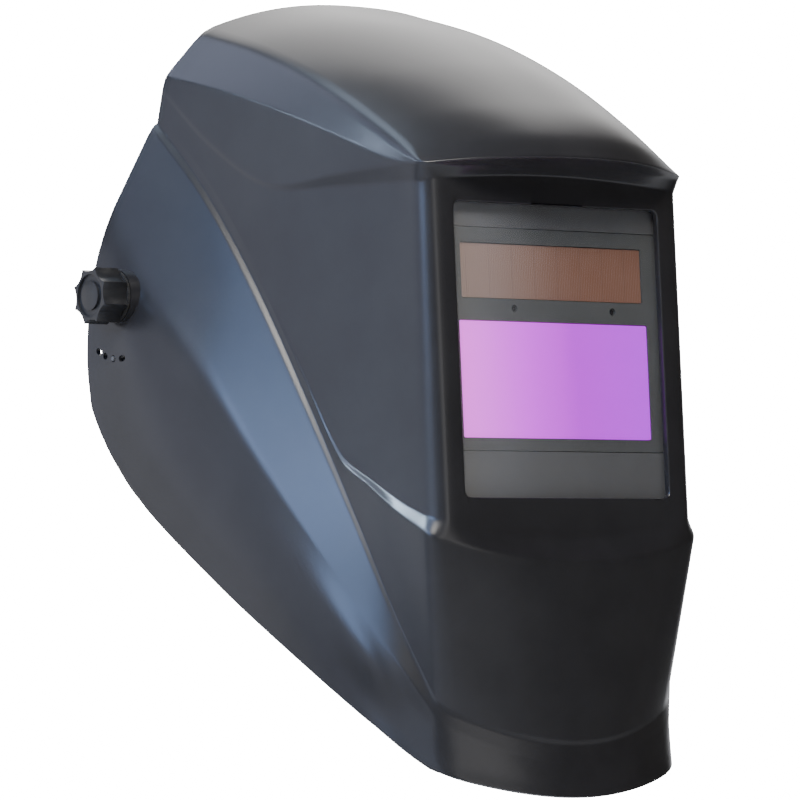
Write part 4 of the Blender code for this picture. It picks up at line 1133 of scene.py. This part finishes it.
def make_stud(name, s, y, inner, outer, finishes):
    """Rivet with a shallow domed head on each side of the two bands it joins."""
    reach = 1.3
    profile = ((0, inner - reach), (2.6, inner - reach), (4.0, inner - 0.4), (4.0, inner),
               (2.0, inner), (2.0, outer), (4.0, outer), (4.0, outer + 0.4), (2.6, outer + reach),
               (0, outer + reach))
    stud = turned(name + "_turned", [(r, s * x) for r, x in eased(profile, 0.35)], "X",
                  (0, y, band_z(y)), finishes["band"], 32)
    stand_for(stud, "headgear", "band", name)


def make_crown_strap(side, s, finishes):
    rise = STRAP_TOP if side == "left" else STRAP_TOP - 1.7
    foot = band_z(STRAP_Y) - 6.0
    rows = []
    for edge in (-STRAP_W / 2, 0.0, STRAP_W / 2):
        row = []
        for a in spread(0, 103, 48):
            c, h = math.cos(math.radians(a)), math.sin(math.radians(a))
            row.append((s * STRAP_X * c, STRAP_Y - STRAP_LEAN * h + edge, foot + (rise - foot) * h))
        rows.append(row)
    strap = strip(f"crown_strap_moulded_{side}", rows, 1.2, finishes["band"], 0.35)
    low, high = sorted((s * 70, s * 85))
    combine(strap, rod(STUD_HOLE_R, "X", (0, STRAP_Y, band_z(STRAP_Y)), low, high), "DIFFERENCE")
    for step in (-1, 0, 1, 2, 3):
        combine(strap, rod(2.5, "Z", (s * 12.0 * step, STRAP_Y - STRAP_LEAN, 0), 70, 120), "DIFFERENCE")
    finish_piece(strap, finishes["band"])
    stand_for(strap, "headgear", "band", f"crown_strap_{side}")


def make_crown_peg(finishes):
    profile = ((0, -3.9), (4.0, -3.9), (4.0, -2.7), (2.2, -2.7), (2.2, 0.9), (5.0, 0.9),
               (5.0, 1.6), (3.4, 2.3), (0, 2.4))
    peg = turned("crown_peg_turned", eased(profile, 0.3), "Z", (0, STRAP_Y - STRAP_LEAN, STRAP_TOP),
                 finishes["band"], 32)
    stand_for(peg, "headgear", "band", "crown_peg")


def make_ratchet(finishes):
    at = REAR_BAND_OUT
    centre_y = BAND_REAR_Y + at
    z = band_z(centre_y)
    cover = strip("ratchet_cover_moulded", rounded_rows(2.72, 3.28, 18.0, 7.0, at + 1.6), 6.6,
                  finishes["knob"], 1.3, 3)
    channel = strip("channel", rounded_rows(2.6, 3.4, 12.4, 0.5, at + 0.3), 4.2, finishes["knob"],
                    0.0)
    combine(cover, channel, "DIFFERENCE")
    combine(cover, rod(3.4, "Y", (0, 0, z), centre_y - 6, centre_y + 9), "DIFFERENCE")
    finish_piece(cover, finishes["knob"])
    stand_for(cover, "ratchet", "knob", "ratchet_cover")
    plate = strip("ratchet_plate_moulded", rounded_rows(2.72, 3.28, 18.0, 7.0, at - 3.1), 2.2,
                  finishes["holder"], 0.5)
    finish_piece(plate, finishes["holder"])
    stand_for(plate, "ratchet", "holder", "ratchet_plate")
    profile = ((0, -1.4), (3.0, -1.4), (3.0, 5.4), (16.6, 5.4), (18.0, 6.8), (18.0, 13.6),
               (16.0, 16.5), (12.4, 16.5), (11.2, 15.0), (5.0, 15.0), (4.2, 15.8), (0, 16.2))
    knob = turned("ratchet_knob_moulded", eased(profile, 0.7), "Y", (0, centre_y, z),
                  finishes["knob"], 96)
    scallop(knob, 12, 19.6, 3.2, "Y", (0, centre_y, z), centre_y + 4, centre_y + 18)
    finish_piece(knob, finishes["knob"])
    stand_for(knob, "ratchet_drive", "knob", "ratchet_knob")


# ---------------------------------------------------------------- pads
def swell(piece, cap, held):
    """Filled with a little pressure as cloth; no point moves further than the cap."""
    start = [v.co.copy() for v in piece.data.vertices]
    group = piece.vertex_groups.new(name="held")
    group.add([i for i, p in enumerate(start) if held(p / MM)], 1.0, "REPLACE")
    only(piece)
    cloth = piece.modifiers.new("Filling", "CLOTH")
    cloth.settings.use_pressure = True
    cloth.settings.uniform_pressure_force = 4
    cloth.settings.vertex_group_mass = "held"
    cloth.settings.effector_weights.gravity = 0
    for number in range(1, 21):
        bpy.context.scene.frame_set(number)
    apply_modifiers(piece)
    bpy.context.scene.frame_set(1)
    for vertex, before in zip(piece.data.vertices, start):
        move = vertex.co - before
        if move.length > cap * MM:
            vertex.co = before + move.normalized() * cap * MM
    piece.vertex_groups.clear()


CREASE_WIDTH = 1.1
CREASE_DEPTH = 0.9


def make_pad(name, body, rows, thickness, cap, held, creases, finish):
    """Sewn pad: an even skin, swollen as cloth, then drawn in along its stitched lines."""
    pad = strip(name + "_sewn", rows, thickness, finish, 1.2, 2)
    skin = pad.modifiers.new("Even skin", "REMESH")
    skin.mode = "VOXEL"
    skin.voxel_size = 2.0 * MM
    calm = pad.modifiers.new("Calm skin", "SMOOTH")
    calm.factor = 0.5
    calm.iterations = 8
    apply_modifiers(pad)
    swell(pad, cap, held)
    smooth = pad.modifiers.new("Skin", "SUBSURF")
    smooth.levels = 1
    smooth.render_levels = 1
    apply_modifiers(pad)
    for vertex in pad.data.vertices:
        point = vertex.co / MM
        depth = sum(CREASE_DEPTH * math.exp(-(crease(point) / CREASE_WIDTH) ** 2) for crease in creases)
        vertex.co -= vertex.normal * depth * MM
    finish_piece(pad, finish, 80)
    stand_for(pad, body, "foam", name)


def make_pads(finishes):
    def brow_share(p):
        return math.hypot(p.x / BAND_X, (p.y + BAND_FLAT_Y) / (BAND_FRONT_Y + BAND_FLAT_Y))

    def nape_share(p):
        return math.hypot(p.x / BAND_X, (p.y - BAND_FLAT_Y) / (BAND_REAR_Y - BAND_FLAT_Y))

    def along_edge(distance):
        return lambda p: abs(p.z - band_z(p.y)) - distance

    rows = [[on_band(u, rise, -4.3) for u in spread(-0.73, 0.73, 48)]
            for rise in spread(-15.4, 15.4, 6)]
    make_pad("brow_pad", "headgear", rows, 4.6, 1.0, lambda p: brow_share(p) > 0.955,
             [along_edge(11.5)], finishes["foam"])
    rows = [[on_band(u, rise, REAR_BAND_OUT - 8.8) for u in spread(2.64, 3.36, 30)]
            for rise in spread(-13.8, 13.8, 6)]
    make_pad("nape_pad", "ratchet", rows, 5.8, 1.2, lambda p: nape_share(p) > 0.93,
             [along_edge(9.5), lambda p: abs(p.x) - 12.0], finishes["foam"])


# ---------------------------------------------------------------- cartridge and its controls
DIALS = (("shade", -40.0), ("sensitivity", -18.0), ("delay", 4.0))


def centre_under(node_name, depth):
    """Point on a frame piece's middle line, at a depth below its rear face."""
    low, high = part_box(node_name)
    return (low.x + high.x) / 2 / MM, high.y / MM - depth, (low.z + high.z) / 2 / MM


def make_dial(name, x, finishes):
    """Knurled dial with a pointer slot across its face."""
    y, z = centre_under(f"{name}_dial", 5.0)[1:]
    profile = ((0, -6.0), (2.0, -6.0), (2.0, 0.3), (6.3, 0.3), (6.5, 0.6), (6.5, 4.0), (5.8, 4.7),
               (4.4, 5.0), (0, 5.0))
    dial = turned(f"{name}_dial_moulded", eased(profile, 0.25), "Y", (x, y, z),
                  finishes["knob"], 72)
    scallop(dial, 18, 7.05, 0.75, "Y", (x, y, z), y + 0.9, y + 6)
    slot = bmesh.new()
    prism(slot, rounded(1.1, 5.2, 0.5, (x, z + 3.2)), "Y", y + 4.3, y + 6)
    combine(dial, new_piece("pointer", slot, finishes["knob"]), "DIFFERENCE")
    finish_piece(dial, finishes["knob"])
    stand_for(dial, f"{name}_control", "knob", f"{name}_dial")


def make_test_button(finishes):
    """Domed push button with a collar inside the housing."""
    middle = centre_under("test_button", 2.2)
    profile = ((0, -4.0), (3.8, -4.0), (3.8, -2.6), (2.5, -2.6), (2.5, 1.3), (1.6, 2.0), (0, 2.2))
    button = turned("test_button_moulded", eased(profile, 0.3), "Y", middle,
                    finishes["red_button"], 40)
    stand_for(button, "test_control", "red_button", "test_button")


def make_screw(number, finishes):
    """Pan-head screw with a cross recess."""
    middle = centre_under(f"case_screw_{number}", 1.4)
    length = middle[1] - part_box(f"case_screw_{number}")[0].y / MM
    profile = ((0, -length), (0.8, -length), (1.1, 0.5 - length), (1.1, 0), (2.2, 0), (2.2, 0.5),
               (1.5, 1.25), (0, 1.4))
    screw = turned(f"case_screw_turned_{number}", eased(profile, 0.25), "Y", middle,
                   finishes["steel"], 28)
    for size in ((2.3, 0.5), (0.5, 2.3)):
        bar = bmesh.new()
        prism(bar, rounded(*size, 0.12, (middle[0], middle[2])), "Y", middle[1] + 0.6,
              middle[1] + 2.0)
        combine(screw, new_piece("recess", bar, finishes["steel"]), "DIFFERENCE")
    finish_piece(screw, finishes["steel"])
    stand_for(screw, "helmet_shell", "steel", f"case_screw_{number}")


# ---------------------------------------------------------------- the whole helmet
def dress_helmet():
    make_studio()
    finishes = make_finishes()
    shell = make_shell(finishes["shell"])
    stand_for(shell, "helmet_shell", "shell", "shell")
    for side, s in SIDES:
        make_pivot(side, s, finishes)
        make_rear_band(side, s, finishes)
        make_crown_strap(side, s, finishes)
        make_stud(f"band_stud_{side}", s, BAND_STUD_Y, BAND_X - 2.9, BAND_X + 2.0, finishes)
        make_stud(f"strap_stud_{side}", s, STRAP_Y, BAND_X - 3.4, BAND_X + 1.1, finishes)
        softened(f"holder_latch_{side}", finishes["knob"], 0.3, f"latch_{side}", "knob")
    make_headband(finishes)
    make_crown_peg(finishes)
    make_ratchet(finishes)
    make_pads(finishes)
    for name, x in DIALS:
        make_dial(name, x, finishes)
    make_test_button(finishes)
    for number in range(1, 5):
        make_screw(number, finishes)
    softened("grind_switch", finishes["knob"], 0.3, "grind_control", "knob")
    softened("battery_tray", finishes["knob"], 0.3, "battery_drawer", "knob")


dress_helmet()
